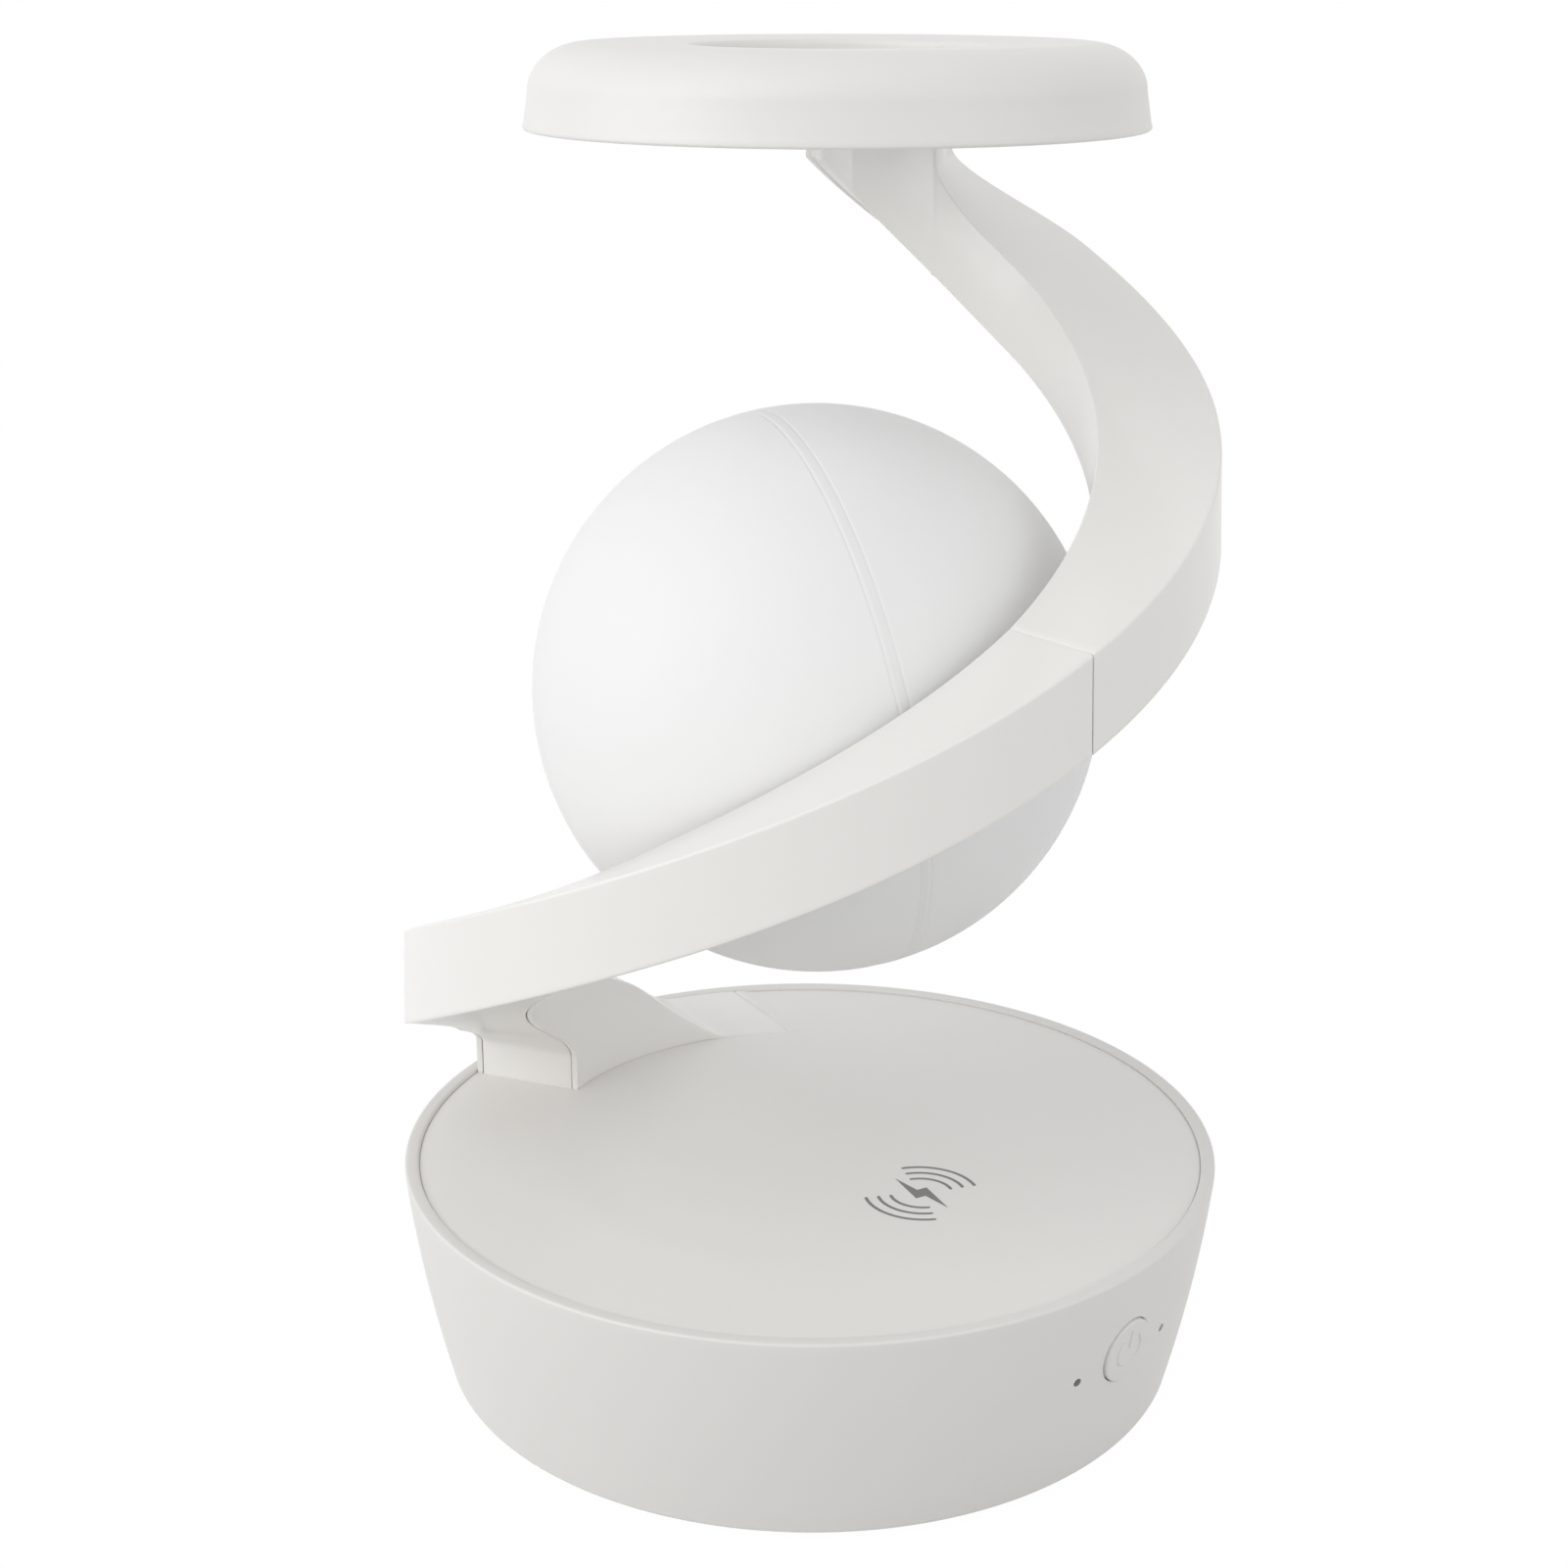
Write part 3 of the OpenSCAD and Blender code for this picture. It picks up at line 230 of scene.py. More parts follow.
def open_hole(turn, z, half_columns, half_rows, outline):
    """Opens a hole through the wall: rings of faces lead from the wall's grid to its edge."""
    lean = side_lean(z)
    j0 = round(turn / 360 * base_columns) - half_columns
    j1 = j0 + 2 * half_columns
    k0 = min(range(len(wall_rows)), key=lambda k: abs(wall_rows[k] - z)) - half_rows
    k1 = k0 + 2 * half_rows
    border = [(k0, j) for j in range(j0, j1)] + [(k, j1) for k in range(k0, k1)]
    border += [(k1, j) for j in range(j1, j0, -1)] + [(k, j0) for k in range(k1, k0, -1)]
    count = len(border)
    edges = []
    for inset in (0, base_wall):
        middle_z = z + inset * math.tan(lean)
        near_r = side_r(middle_z) - inset

        def on_wall(across, up, sink):
            height = middle_z + up * math.cos(lean)
            a = math.radians(turn) + across / near_r
            r = side_r(height) - inset - sink
            return (r * math.cos(a), r * math.sin(a), height)

        loops = [[]]
        flats = []
        for k, j in border:
            row = outer_start + k if inset == 0 else inner_start + len(wall_rows) - 1 - k
            loops[0].append(row * base_columns + j % base_columns)
            across = math.radians(j * 360 / base_columns - turn) * near_r
            flats.append((across, (wall_rows[k] - middle_z) / math.cos(lean)))
        rings = [(step, 0) for step in hole_steps]
        if inset == 0:
            rings.append((None, hole_edge))
        for share, sink in rings:
            loop = []
            for across, up in flats:
                angle = math.atan2(up, across)
                edge = outline(angle) + (hole_edge if inset == 0 and share is not None else 0)
                target = (edge * math.cos(angle), edge * math.sin(angle))
                t = 1 if share is None else share
                loop.append(len(base_points))
                base_points.append(on_wall(mix(across, target[0], t), mix(up, target[1], t), sink))
            loops.append(loop)
        for k in range(k0, k1):
            for j in range(j0, j1):
                row = outer_start + k if inset == 0 else inner_start + len(wall_rows) - 2 - k
                del base_faces[(row, j % base_columns)]
        for first, second in zip(loops, loops[1:]):
            for n in range(count):
                m = (n + 1) % count
                base_extra.append((first[n], first[m], second[m], second[n]))
        edges.append(loops[-1])
    for n in range(count):
        m = (n + 1) % count
        base_extra.append((edges[0][n], edges[0][m], edges[1][m], edges[1][n]))


open_hole(button_turn, button_z, 6, 6, round_hole(button_d / 2 + button_gap))
window_hole = round_hole(window_d / 2 + window_gap)
for side in (-1, 1):
    open_hole(button_turn + side * window_turn, button_z - window_drop, 2, 2, window_hole)
socket_hole = slot_hole(socket_w + 2 * socket_gap, socket_h + 2 * socket_gap)
open_hole(socket_turn, socket_z, 6, 3, socket_hole)
# The bowl's finish carries that darker white: painted shade on its side.
base_white = moulded_plastic("base_white", base_shade_tone, 0.46)
base = make_piece("base_bowl", base_points, list(base_faces.values()) + base_extra, base_white)
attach(base, "lamp")
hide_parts("base_shell")

# Bottom plate, feet and screws: a flat moulded plate let into the bowl, four rubber
# feet glued in its pockets, and zinc-plated screws sunk in the plate.


def soften_edges(node, width_mm, segments=3):
    """A narrow rounding along the sharp edges of a plain solid."""
    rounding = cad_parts[node].modifiers.new("edge", "BEVEL")
    rounding.width = width_mm * MM
    rounding.segments = segments
    rounding.limit_method = "ANGLE"
    rounding.angle_limit = math.radians(40)
    rounding.harden_normals = False


def dress(node, finish):
    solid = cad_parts[node]
    solid.data.materials.clear()
    solid.data.materials.append(finish)


def rubber(name, colour):
    finish = moulded_plastic(name, colour, 0.78, grain_mm=0.25, grain_depth=0.02)
    finish.node_tree.nodes["Principled BSDF"].inputs["Specular IOR Level"].default_value = 0.3
    return finish


def plated_metal(name, colour, roughness):
    """Plated or turned metal: fine drawn lines in gloss and relief."""
    finish = bpy.data.materials.new(name)
    finish.use_nodes = True
    nodes, links = finish.node_tree.nodes, finish.node_tree.links
    shader = nodes["Principled BSDF"]
    shader.inputs["Metallic"].default_value = 1
    place = nodes.new("ShaderNodeTexCoord")
    stretch = nodes.new("ShaderNodeMapping")
    stretch.inputs["Scale"].default_value = (900, 900, 9000)
    links.new(place.outputs["Object"], stretch.inputs["Vector"])
    lines = nodes.new("ShaderNodeTexNoise")
    lines.inputs["Scale"].default_value = 1
    lines.inputs["Detail"].default_value = 4
    links.new(stretch.outputs["Vector"], lines.inputs["Vector"])
    tone = nodes.new("ShaderNodeMix")
    tone.data_type = "RGBA"
    tone.inputs["A"].default_value = (*[c * 0.82 for c in colour], 1)
    tone.inputs["B"].default_value = (*colour, 1)
    links.new(lines.outputs["Fac"], tone.inputs["Factor"])
    links.new(tone.outputs["Result"], shader.inputs["Base Color"])
    gloss = nodes.new("ShaderNodeMapRange")
    gloss.inputs["To Min"].default_value = roughness - 0.1
    gloss.inputs["To Max"].default_value = roughness + 0.1
    links.new(lines.outputs["Fac"], gloss.inputs["Value"])
    links.new(gloss.outputs["Result"], shader.inputs["Roughness"])
    relief = nodes.new("ShaderNodeBump")
    relief.inputs["Strength"].default_value = 0.2
    relief.inputs["Distance"].default_value = 0.01 * MM
    links.new(lines.outputs["Fac"], relief.inputs["Height"])
    links.new(relief.outputs["Normal"], shader.inputs["Normal"])
    return finish


# The plate takes the bowl's darker white, with its painted shade.
dress("bottom_plate", base_white)
soften_edges("bottom_plate", 0.3)
dress("rubber_feet", rubber("foot_rubber", (0.1, 0.1, 0.105)))
soften_edges("rubber_feet", 0.4)
zinc = plated_metal("steel", (0.6, 0.61, 0.62), 0.35)
zinc_nodes = ["base_screws", "foot_screws", "head_screws"]
zinc_nodes += ["ballast_plate", "foot_clamp", "power_socket"]
for node in zinc_nodes:
    dress(node, zinc)
soften_edges("base_screws", 0.15)
soften_edges("power_socket", 0.15)

# Top cover: a round moulded plate in the same white, set a little below the lip, with
# a dish so shallow that only its edge shows. It rests on the bowl's ledge.
arm_w = 24.0
arm_inner_r = rim_r - arm_w
dish_depth = 0.4
dish_slope_w = 11.0
dish_r = arm_inner_r - 1
dish_steps = 16
dish_rings = 14
border_rings = 8
border_r = cover_r - border_w
border_edge = 0.12
border_soft = 0.1
border_shares = (0.93, 0.8, 0.3, 0.06)
cover_columns = 240
cover_profile = [(0, ledge_z), (cover_r, ledge_z)]
cover_profile += [(cover_r, cover_z - border_drop - border_edge)]
cover_profile += [(mix(border_r, cover_r, t), cover_z - border_drop * t) for t in border_shares]
cover_profile += [(r, cover_z) for r in spread(border_r - border_soft, dish_r, border_rings)[:-1]]
for t in spread(0, 1, dish_steps):
    drop = dish_depth * (1 - math.cos(math.pi * t)) / 2
    cover_profile.append((dish_r - dish_slope_w * t, cover_z - drop))
dish_z = cover_z - dish_depth
cover_profile += [(r, dish_z) for r in spread(dish_r - dish_slope_w, 0, dish_rings)[1:]]
cover_points, cover_faces = turned(cover_profile, cover_columns, closed=False)
cover_white = moulded_plastic("cover_white", (0.84, 0.827, 0.803), 0.44)
cover = make_piece("top_plate", cover_points, cover_faces.values(), cover_white)
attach(cover, "lamp")
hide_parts("top_cover")

# Charging mark: grey ink printed on the cover, a bolt between two sets of three waves.
# It lies in the dish, right over the charging coil.
mark_middle = (20.1, -20.7)
mark_turn = 62.5
wave_radii = (10.15, 7.87, 5.59)
wave_half = 44.5
wave_apart = 174
bolt_lean = 23.5
wave_w = 0.62
wave_steps = 40
ink_t = 0.04
mark_points, mark_faces = [], []


def print_outline(outline):
    """A flat printed form: its outline as a face on top and a thin edge down to the plate."""
    first = len(mark_points)
    count = len(outline)
    for z in (dish_z - ink_t, dish_z + ink_t):
        mark_points.extend((mark_middle[0] + x, mark_middle[1] + y, z) for x, y in outline)
    mark_faces.append([first + count + n for n in range(count)])
    mark_faces.append([first + n for n in reversed(range(count))])
    for n in range(count):
        m = (n + 1) % count
        mark_faces.append((first + n, first + m, first + count + m, first + count + n))


for half in (0, wave_apart):
    for radius in wave_radii:
        start, end = mark_turn + half - wave_half, mark_turn + half + wave_half
        tips = arc((0, 0), radius, start, end, 1)
        wave = arc((0, 0), radius + wave_w / 2, start, end, wave_steps)
        wave += arc(tips[1], wave_w / 2, end, end + 180, 6)[1:-1]
        wave += arc((0, 0), radius - wave_w / 2, end, start, wave_steps)
        wave += arc(tips[0], wave_w / 2, start + 180, start + 360, 6)[1:-1]
        print_outline(wave)
bolt = [(0, 7.1), (0.15, 1.3), (2.1, 1), (0, -7.1), (-0.15, -1.3), (-2.1, -1)]
bolt_turn = math.radians(mark_turn - bolt_lean)
print_outline(
    [
        (
            x * math.cos(bolt_turn) - y * math.sin(bolt_turn),
            x * math.sin(bolt_turn) + y * math.cos(bolt_turn),
        )
        for x, y in reversed(bolt)
    ]
)
mark_grey = moulded_plastic("mark_grey", (0.2, 0.198, 0.192), 0.5, grain_mm=0.2)
mark = make_piece("printed_mark", mark_points, mark_faces, mark_grey)
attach(mark, "lamp")
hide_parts("charge_mark")

# Power button: a round white key that slides in its hole in the bowl, almost flush with
# the wall, with the power sign moulded in its face as a fine groove. A flange behind
# the wall keeps it in.
face_z = 0.35
sign_depth = 0.3
sign_w = 0.66
sign_slope = 0.2
sign_r = button_d * 0.275
sign_gap = 42
bar_low = 0.2 * sign_r
bar_high = 1.2 * sign_r
key_snug = 0.1
key_edge = 0.3
key_crown = 0.08
key_rings = 56
key_columns = 216
button_r = button_d / 2 + key_snug
flat_r = button_r - key_edge
flange_gap = 0.9
flange_t = 1.2
flange_lip = 1.2
flange_z = -(base_wall + flange_gap)
flange_back = flange_z - flange_t
flange_r = button_d / 2 + button_gap + flange_lip
stem_r = 2.0
stem_l = 2.0
stem_end = flange_back - stem_l
lean = side_lean(button_z)
facing = Vector((math.cos(math.radians(button_turn)), math.sin(math.radians(button_turn)), 0))
plumb = Vector((0, 0, 1))
out = facing * math.cos(lean) - plumb * math.sin(lean)
along = plumb.cross(facing)
upward = out.cross(along)
button_at = facing * side_r(button_z) + plumb * button_z


def on_button(points):
    return [tuple(button_at + along * x + upward * y + out * z) for x, y, z in points]


def smooth(t):
    u = min(1.0, max(0.0, t))
    return u * u * (3 - 2 * u)


def sign_distance(x, y):
    """Distance from the middle line of the power sign: an open ring with a bar in its gap."""
    from_gap = abs((math.degrees(math.atan2(y, x)) - 90 + 180) % 360 - 180)
    ring = abs(math.hypot(x, y) - sign_r)
    if from_gap < sign_gap:
        tip = math.radians(90 - sign_gap)
        ring = math.hypot(abs(x) - sign_r * math.cos(tip), y - sign_r * math.sin(tip))
    bar = math.hypot(x, max(0.0, bar_low - y, y - bar_high))
    return min(ring, bar)


key_profile = [(0, stem_end), (stem_r, stem_end), (stem_r, flange_back)]
key_profile += [(flange_r, flange_back), (flange_r, flange_z), (button_r, flange_z)]
key_profile += arc((flat_r, face_z - key_edge), key_edge, 0, 90, 5)
for r in spread(flat_r, 0, key_rings)[1:]:
    key_profile.append((r, face_z + key_crown * (1 - (r / flat_r) ** 2)))
key_points, key_faces = turned(key_profile, key_columns, closed=False)
engraved = []
for x, y, z in key_points:
    if z >= face_z:
        z -= sign_depth * (1 - smooth((sign_distance(x, y) - sign_w / 2 + sign_slope) / sign_slope))
    engraved.append((x, y, z))
# The key takes the bowl's darker white, with its painted shade.
key = make_piece("power_key", on_button(engraved), key_faces.values(), base_white, sharp=60)
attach(key, "button")
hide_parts("power_button")

# Indicator windows: near-black rods pressed into the two pinholes beside the button.
# They fill the holes and show as two dark dots: painted shade that stands in for the shade inside
# the holes.
window_grey = moulded_plastic("window_grey", (0.1, 0.1, 0.1), 0.2)
dress("indicator_windows", window_grey)
soften_edges("indicator_windows", 0.1)

# Spiral arm, lower moulding: a deep white channel that rises from the cover, upright
# at its foot and leaning in above it. It is open below and screwed down from inside.
arm_start = 100.0
arm_rise = 189.4 / 360
arm_sink = 0.93
root_dip = 10.0
root_fade = 32.0
arm_h = 16.3
root_extra_h = 1.4
root_extra_hold = 90.0
root_extra_fade = 60.0
arm_lean = 0.0435
root_swell = 1.8
root_swell_at = arm_start + 33
root_swell_turn = 9.0
arm_wall = 1.1
arm_top_t = 2.4
thin_roof = 0.4
arm_edge = 0.5
arm_edge_share = 0.35
wall_edge = 0.45
wall_edge_share = 0.25
row_margin = 1.0
strip_t = 1.8
strip_gap = 0.2
foot_setback = 0.2
foot_r = cover_r - foot_setback
foot_in = 1.0
foot_in_turn = 50.0
foot_end = arm_start + 55.5
foot_skew = 0.55
foot_skew_hold = 8.0
foot_skew_fade = 20.0
foot_fillet_h = 2.6
foot_fillet_turn = 7.0
overhang_z = rim_z + 9.2
overhang_corner = 1.2
lip_clear = 0.05
seam_at = arm_start + 208
tail_at = arm_start - cover_drop / arm_rise
tail_step_in = 0.03
tail_step_out = 0.4
tail_soft = 1.2
tail_skew = 4.05
tail_skew_span = 30.0
degree_len = (arm_inner_r + rim_r) / 2 * math.pi / 180
seam_half = strip_gap / 2 / degree_len


def arm_top(s):
    t = s - arm_start
    swell = root_swell * math.exp(-(((s - root_swell_at) / root_swell_turn) ** 2))
    return rim_z + arm_rise * t - arm_sink - root_dip * math.exp(-t / root_fade) + swell


def underside(s):
    extra = 1 - smooth((s - arm_start - root_extra_hold) / root_extra_fade)
    return arm_top(s) - arm_h - root_extra_h * extra


def cone_r(z):
    return rim_r - arm_lean * (z - rim_z)


def climb(u):
    return 1 - math.sqrt(max(0.0, 1 - max(0.0, u) ** 2))


def foot_side_r(z):
    if z > overhang_z:
        return cone_r(z)
    if z < rim_z + lip_clear:
        return foot_r
    return foot_r + overhang_corner * climb(1 - (overhang_z - z) / overhang_corner)


def lower_inner(s):
    return arm_inner_r - foot_in * (1 - smooth((s - foot_end) / foot_in_turn))


def lower_top(s, step):
    rise = arm_top(s) - cover_z - step
    return cover_z + step + (rise + math.hypot(rise, tail_soft)) / 2


def lower_bottom(s):
    u = (s - foot_end) / foot_fillet_turn
    if u <= 0:
        return cover_z - border_drop
    return underside(s) - foot_fillet_h * climb(1 - u)


def lower_skew(s):
    at_tail = tail_skew * (1 - smooth((s - tail_at) / tail_skew_span))
    off_foot = smooth((abs(s - foot_end) - foot_skew_hold) / foot_skew_fade)
    return at_tail + foot_skew * (1 - off_foot)


def channel_section(inner_r, outer, inner_top, outer_top, bottom, roof, wall, heights, spare=0.0):
    """Outline of the arm's channel: rounded upper edges, two walls and the hollow between."""
    depth = min(inner_top, outer_top) - bottom
    top_round = min(arm_edge, arm_edge_share * depth)
    low_round = min(wall_edge, wall_edge_share * depth)
    inner_r += spare
    inner_top -= spare
    outer_top -= spare
    bottom += spare
    side_top = outer_top - top_round
    side_low = bottom + low_round
    top_r = outer(side_top) - spare
    low_r = outer(bottom) - spare
    outline = arc((inner_r + top_round, inner_top - top_round), top_round, 180, 90, 4)
    outline += arc((top_r - top_round, side_top), top_round, 90, 0, 4)
    for z in heights:
        level = min(max(z, side_low), side_top)
        outline.append((outer(level) - spare, level))
    outline += arc((low_r - low_round, side_low), low_round, 0, -90, 3)
    outline += arc((low_r - wall + low_round, side_low), low_round, -90, -180, 3)
    for z in reversed(heights):
        level = min(max(z, side_low), roof)
        outline.append((outer(level) - wall, level))
    outline += [(outer(roof) - wall, roof), (inner_r + wall, roof)]
    outline += arc((inner_r + wall - low_round, side_low), low_round, 0, -90, 3)
    outline += arc((inner_r + low_round, side_low), low_round, -90, -180, 3)
    return outline


def ring_at(outline, turn, skew):
    """A section's outline set at its turn, its outer side skewed ahead of its inner side."""
    r0 = min(r for r, z in outline)
    r1 = max(r for r, z in outline)
    ring = []
    for r, z in outline:
        a = math.radians(turn + skew * (2 * (r - r0) / (r1 - r0) - 1))
        ring.append((r * math.cos(a), r * math.sin(a), z))
    return ring


def swept(rings):
    count = len(rings[0])
    points = [p for ring in rings for p in ring]
    faces = [[n for n in range(count)], [len(points) - 1 - n for n in range(count)]]
    for i in range(len(rings) - 1):
        for n in range(count):
            m = (n + 1) % count
            a, b = i * count, (i + 1) * count
            faces.append((a + n, a + m, b + m, b + n))
    return points, faces


def even_turns(a, b, step=1.0):
    return spread(a, b, max(1, math.ceil((b - a) / step)))


crease = 0.01
above_crease = 0.5
corner_steps = (0, 0.03, 0.12, 0.3, 0.6, 1)
foot_heights = [overhang_z + above_crease, overhang_z + crease]
foot_heights += [overhang_z - d * overhang_corner for d in corner_steps]
foot_heights += [rim_z + lip_clear, rim_z + lip_clear - crease]


def lower_section(s, spare=0.0):
    inner_top = lower_top(s, tail_step_in)
    bottom = lower_bottom(s)
    roof = max(mix(bottom, inner_top, thin_roof), inner_top - arm_top_t)
    heights = foot_heights
    if bottom > overhang_z:
        heights = spread(inner_top - row_margin, bottom + row_margin, len(foot_heights) - 1)
    outline = channel_section(
        lower_inner(s),
        foot_side_r,
        inner_top,
        lower_top(s, tail_step_out),
        bottom,
        roof,
        arm_wall,
        heights,
        spare,
    )
    return ring_at(outline, s, lower_skew(s))


fillet_shares = [0.01, 0.04, 0.08, 0.13, 0.2, 0.25, 0.3, 0.36, 0.42, 0.5, 0.58, 0.72, 0.86]
fillet_turns = [foot_end + u * foot_fillet_turn for u in fillet_shares]
under_turns = even_turns(foot_end + foot_fillet_turn, seam_at - seam_half)
end_edge = 0.12
tail_edge = 0.08
end_turn = end_edge / degree_len
lower_rings = [lower_section(tail_at, tail_edge), lower_section(tail_at + end_turn)]
lower_rings += [lower_section(s) for s in even_turns(tail_at, foot_end)[1:]]
lower_rings += [lower_section(s) for s in fillet_turns + under_turns[:-1]]
lower_rings += [lower_section(under_turns[-1] - end_turn), lower_section(under_turns[-1], end_edge)]
# The arm's white is set a little lighter than the cover's: painted light that lifts its shaded
# walls, foot and underside.
arm_white = moulded_plastic("arm_white", (0.852, 0.84, 0.815), 0.34, coat=0.3)
lower_arm = make_piece("lower_arm_moulding", *swept(lower_rings), arm_white)
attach(lower_arm, "lamp")
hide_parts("lower_arm")

# Tail stop: a low swell moulded on the cover where the arm's tail ends. A fine groove
# shows between the two, and the swell dies away beyond it.
stop_gap = 0.3
stop_edge_w = 0.5
stop_edge_h = 0.36
stop_edge_share = 0.9
stop_w = 4.5
stop_sink = 0.02
stop_columns = 24
stop_steps = 10
stop_rings = []
for t in spread(0, 1, stop_columns):
    r = mix(lower_inner(tail_at), foot_r, t)
    turn = math.radians(tail_at + lower_skew(tail_at) * (2 * t - 1))
    rise = mix(lower_top(tail_at, tail_step_in), lower_top(tail_at, tail_step_out), t) - cover_z
    edge = min(stop_edge_h, stop_edge_share * rise)
    crest = stop_gap + stop_edge_w
    outline = [(stop_gap, -border_drop), (stop_gap, rise - edge), (crest, rise)]
    for u in spread(0, 1, stop_steps)[1:]:
        outline.append((mix(crest, stop_w, u), rise * (1 - smooth(u)) - stop_sink * u))
    outline.append((stop_w, -border_drop))
    ring = []
    for d, h in outline:
        ring.append((r * math.cos(turn - d / r), r * math.sin(turn - d / r), cover_z + h))
    stop_rings.append(ring)
tail_stop = make_piece("tail_stop", *swept(stop_rings), cover_white)
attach(tail_stop, "lamp")

# Lower strip: a moulded strip that snaps between the channel's walls and closes it from
# below. It turns down at the foot and shows there as the end panel.
panel_top = underside(foot_end) - foot_fillet_h
panel_rows = 8
lower_path = [(foot_end, z) for z in spread(cover_z - border_drop, panel_top, panel_rows)]
lower_path += [(s, lower_bottom(s)) for s in fillet_turns + under_turns[:-1]]
lower_path += [(seam_at - strip_gap, underside(seam_at - strip_gap))]
strip_edge = 0.3
strip_inset = arm_wall + strip_gap


def strip_rings(path, inner, outer, skew):
    """Rings of a strip along a path of turns and heights, rounded on the face that shows."""
    rings = []
    for i, (s, z) in enumerate(path):
        before, after = path[max(0, i - 1)], path[min(len(path) - 1, i + 1)]
        ds, dz = (after[0] - before[0]) * degree_len, after[1] - before[1]
        size = math.hypot(ds, dz)
        channel_r1, channel_r2 = inner(s), outer(s, z)
        r1, r2 = channel_r1 + strip_inset, channel_r2 - strip_inset
        outline = [(r1, strip_t)] + arc((r1 + strip_edge, strip_edge), strip_edge, 180, 270, 3)
        outline += arc((r2 - strip_edge, strip_edge), strip_edge, 270, 360, 3) + [(r2, strip_t)]
        ring = []
        for r, depth in outline:
            across = 2 * (r - channel_r1) / (channel_r2 - channel_r1) - 1
            a = math.radians(s + skew(s) * across - depth * dz / size / degree_len)
            ring.append((r * math.cos(a), r * math.sin(a), z + depth * ds / size))
        rings.append(ring)
    return rings


# The strips take the same lighter white: painted light on the shaded end panel and underside.
strip_white = moulded_plastic("strip_white", (0.852, 0.84, 0.815), 0.36, coat=0.3)
lower_strip = make_piece(
    "lower_arm_closing_strip",
    *swept(strip_rings(lower_path, lower_inner, lambda s, z: foot_side_r(z), lower_skew)),
    strip_white,
)
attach(lower_strip, "lamp")
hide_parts("lower_arm_strip")

# Spiral arm, upper moulding: the same white channel from the seam on, drawn in round the
# globe's top and swept up into the stalk that carries the head. A tenon inside the seam
# joins it to the lower moulding.
head_low, head_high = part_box("head_shell")
head_z = head_low[2] / MM
head_r = (head_high[0] - head_low[0]) / 2 / MM
head_shift = (head_high[0] + head_low[0]) / 2 / MM
stalk_at = arm_start + 323
tip_at = stalk_at + 26.7
tip_reach = 5.2
tip_w = 5.4
tip_lift = 7.5
lift_turn = 19.0
inner_top_r = head_r - tip_reach
draw_in_turn = 100.0
draw_in_late = 1.0
pull_in_turn = 21.0
stalk_fillet_turn = 15.0
stalk_fillet_h = 5.0
stalk_rise_turn = 51.0
stalk_rise_h = 6.6
stalk_skew = 1.73
stalk_mid_h = 7.0
stalk_top_h = 2.4
stalk_edge = 0.8
stalk_bend = 0.5
stalk_step = 0.02
stalk_edge_apart = 0.1
fillet_steps = (0.1, 0.2, 0.3, 0.4, 0.5, 0.6, 0.68, 0.76, 0.83, 0.89, 0.94, 0.975, 0.995)
stalk_shares = (0.9, 0.8, 0.68, 0.56, 0.46, 0.38, 0.3, 0.22, 0.15, 0.08, 0)
side_shares = (0.25, 0.5, 0.75, 1)
thin_wall = 0.36
tip_round_turn = 7.0
tip_round_in = 1.6
tip_round_out = 0.9
tip_edge = 0.1
tip_end_share = 0.002
round_apart = 0.15
tip_round_at = tip_at - tip_round_turn
solid_tip_turn = 16.0
solid_tip_at = tip_at - solid_tip_turn
solid_roof_gap = 0.02
solid_roof = wall_edge + solid_roof_gap
head_edge_turn = 14.5
head_edge_r = head_r + head_shift * math.cos(math.radians(stalk_at + head_edge_turn))


def pull_share(s):
    return smooth((s - stalk_at + pull_in_turn) / pull_in_turn)


def tip_share(s):
    return max(0.0, (s - tip_at + tip_round_turn) / tip_round_turn)


def upper_inner(s):
    left = max(0.0, 1 - (s - seam_at) / draw_in_turn)
    drawn = mix(arm_inner_r, inner_top_r + draw_in_late, 1 - left * left)
    return drawn - draw_in_late * pull_share(s) + tip_round_in * tip_share(s)


def upper_outer(s, z):
    share = smooth((s - stalk_at + pull_in_turn) / (tip_at - stalk_at + pull_in_turn))
    return mix(cone_r(z), inner_top_r + tip_w, share) - tip_round_out * tip_share(s)


def upper_bottom(s):
    t = max(0.0, (s - stalk_at + lift_turn) / (tip_at - stalk_at + lift_turn))
    return underside(s) + tip_lift * t * t


def upper_skew(s):
    return stalk_skew * pull_share(s)


def stalk_mid(s):
    return min(arm_top(s) + stalk_mid_h, head_z - stalk_top_h)


def upper_side(s, z, stalk):
    """Radius of the outer face, which the stalk draws in under the head's edge."""
    middle = stalk_mid(s)
    if not stalk or z <= middle:
        return upper_outer(s, z)
    low_r = upper_outer(s, middle)
    t = (z - middle) / (head_z - middle)
    return mix(low_r, min(head_edge_r, low_r), smooth(t / stalk_bend) * (1 - (1 - t) ** 2))


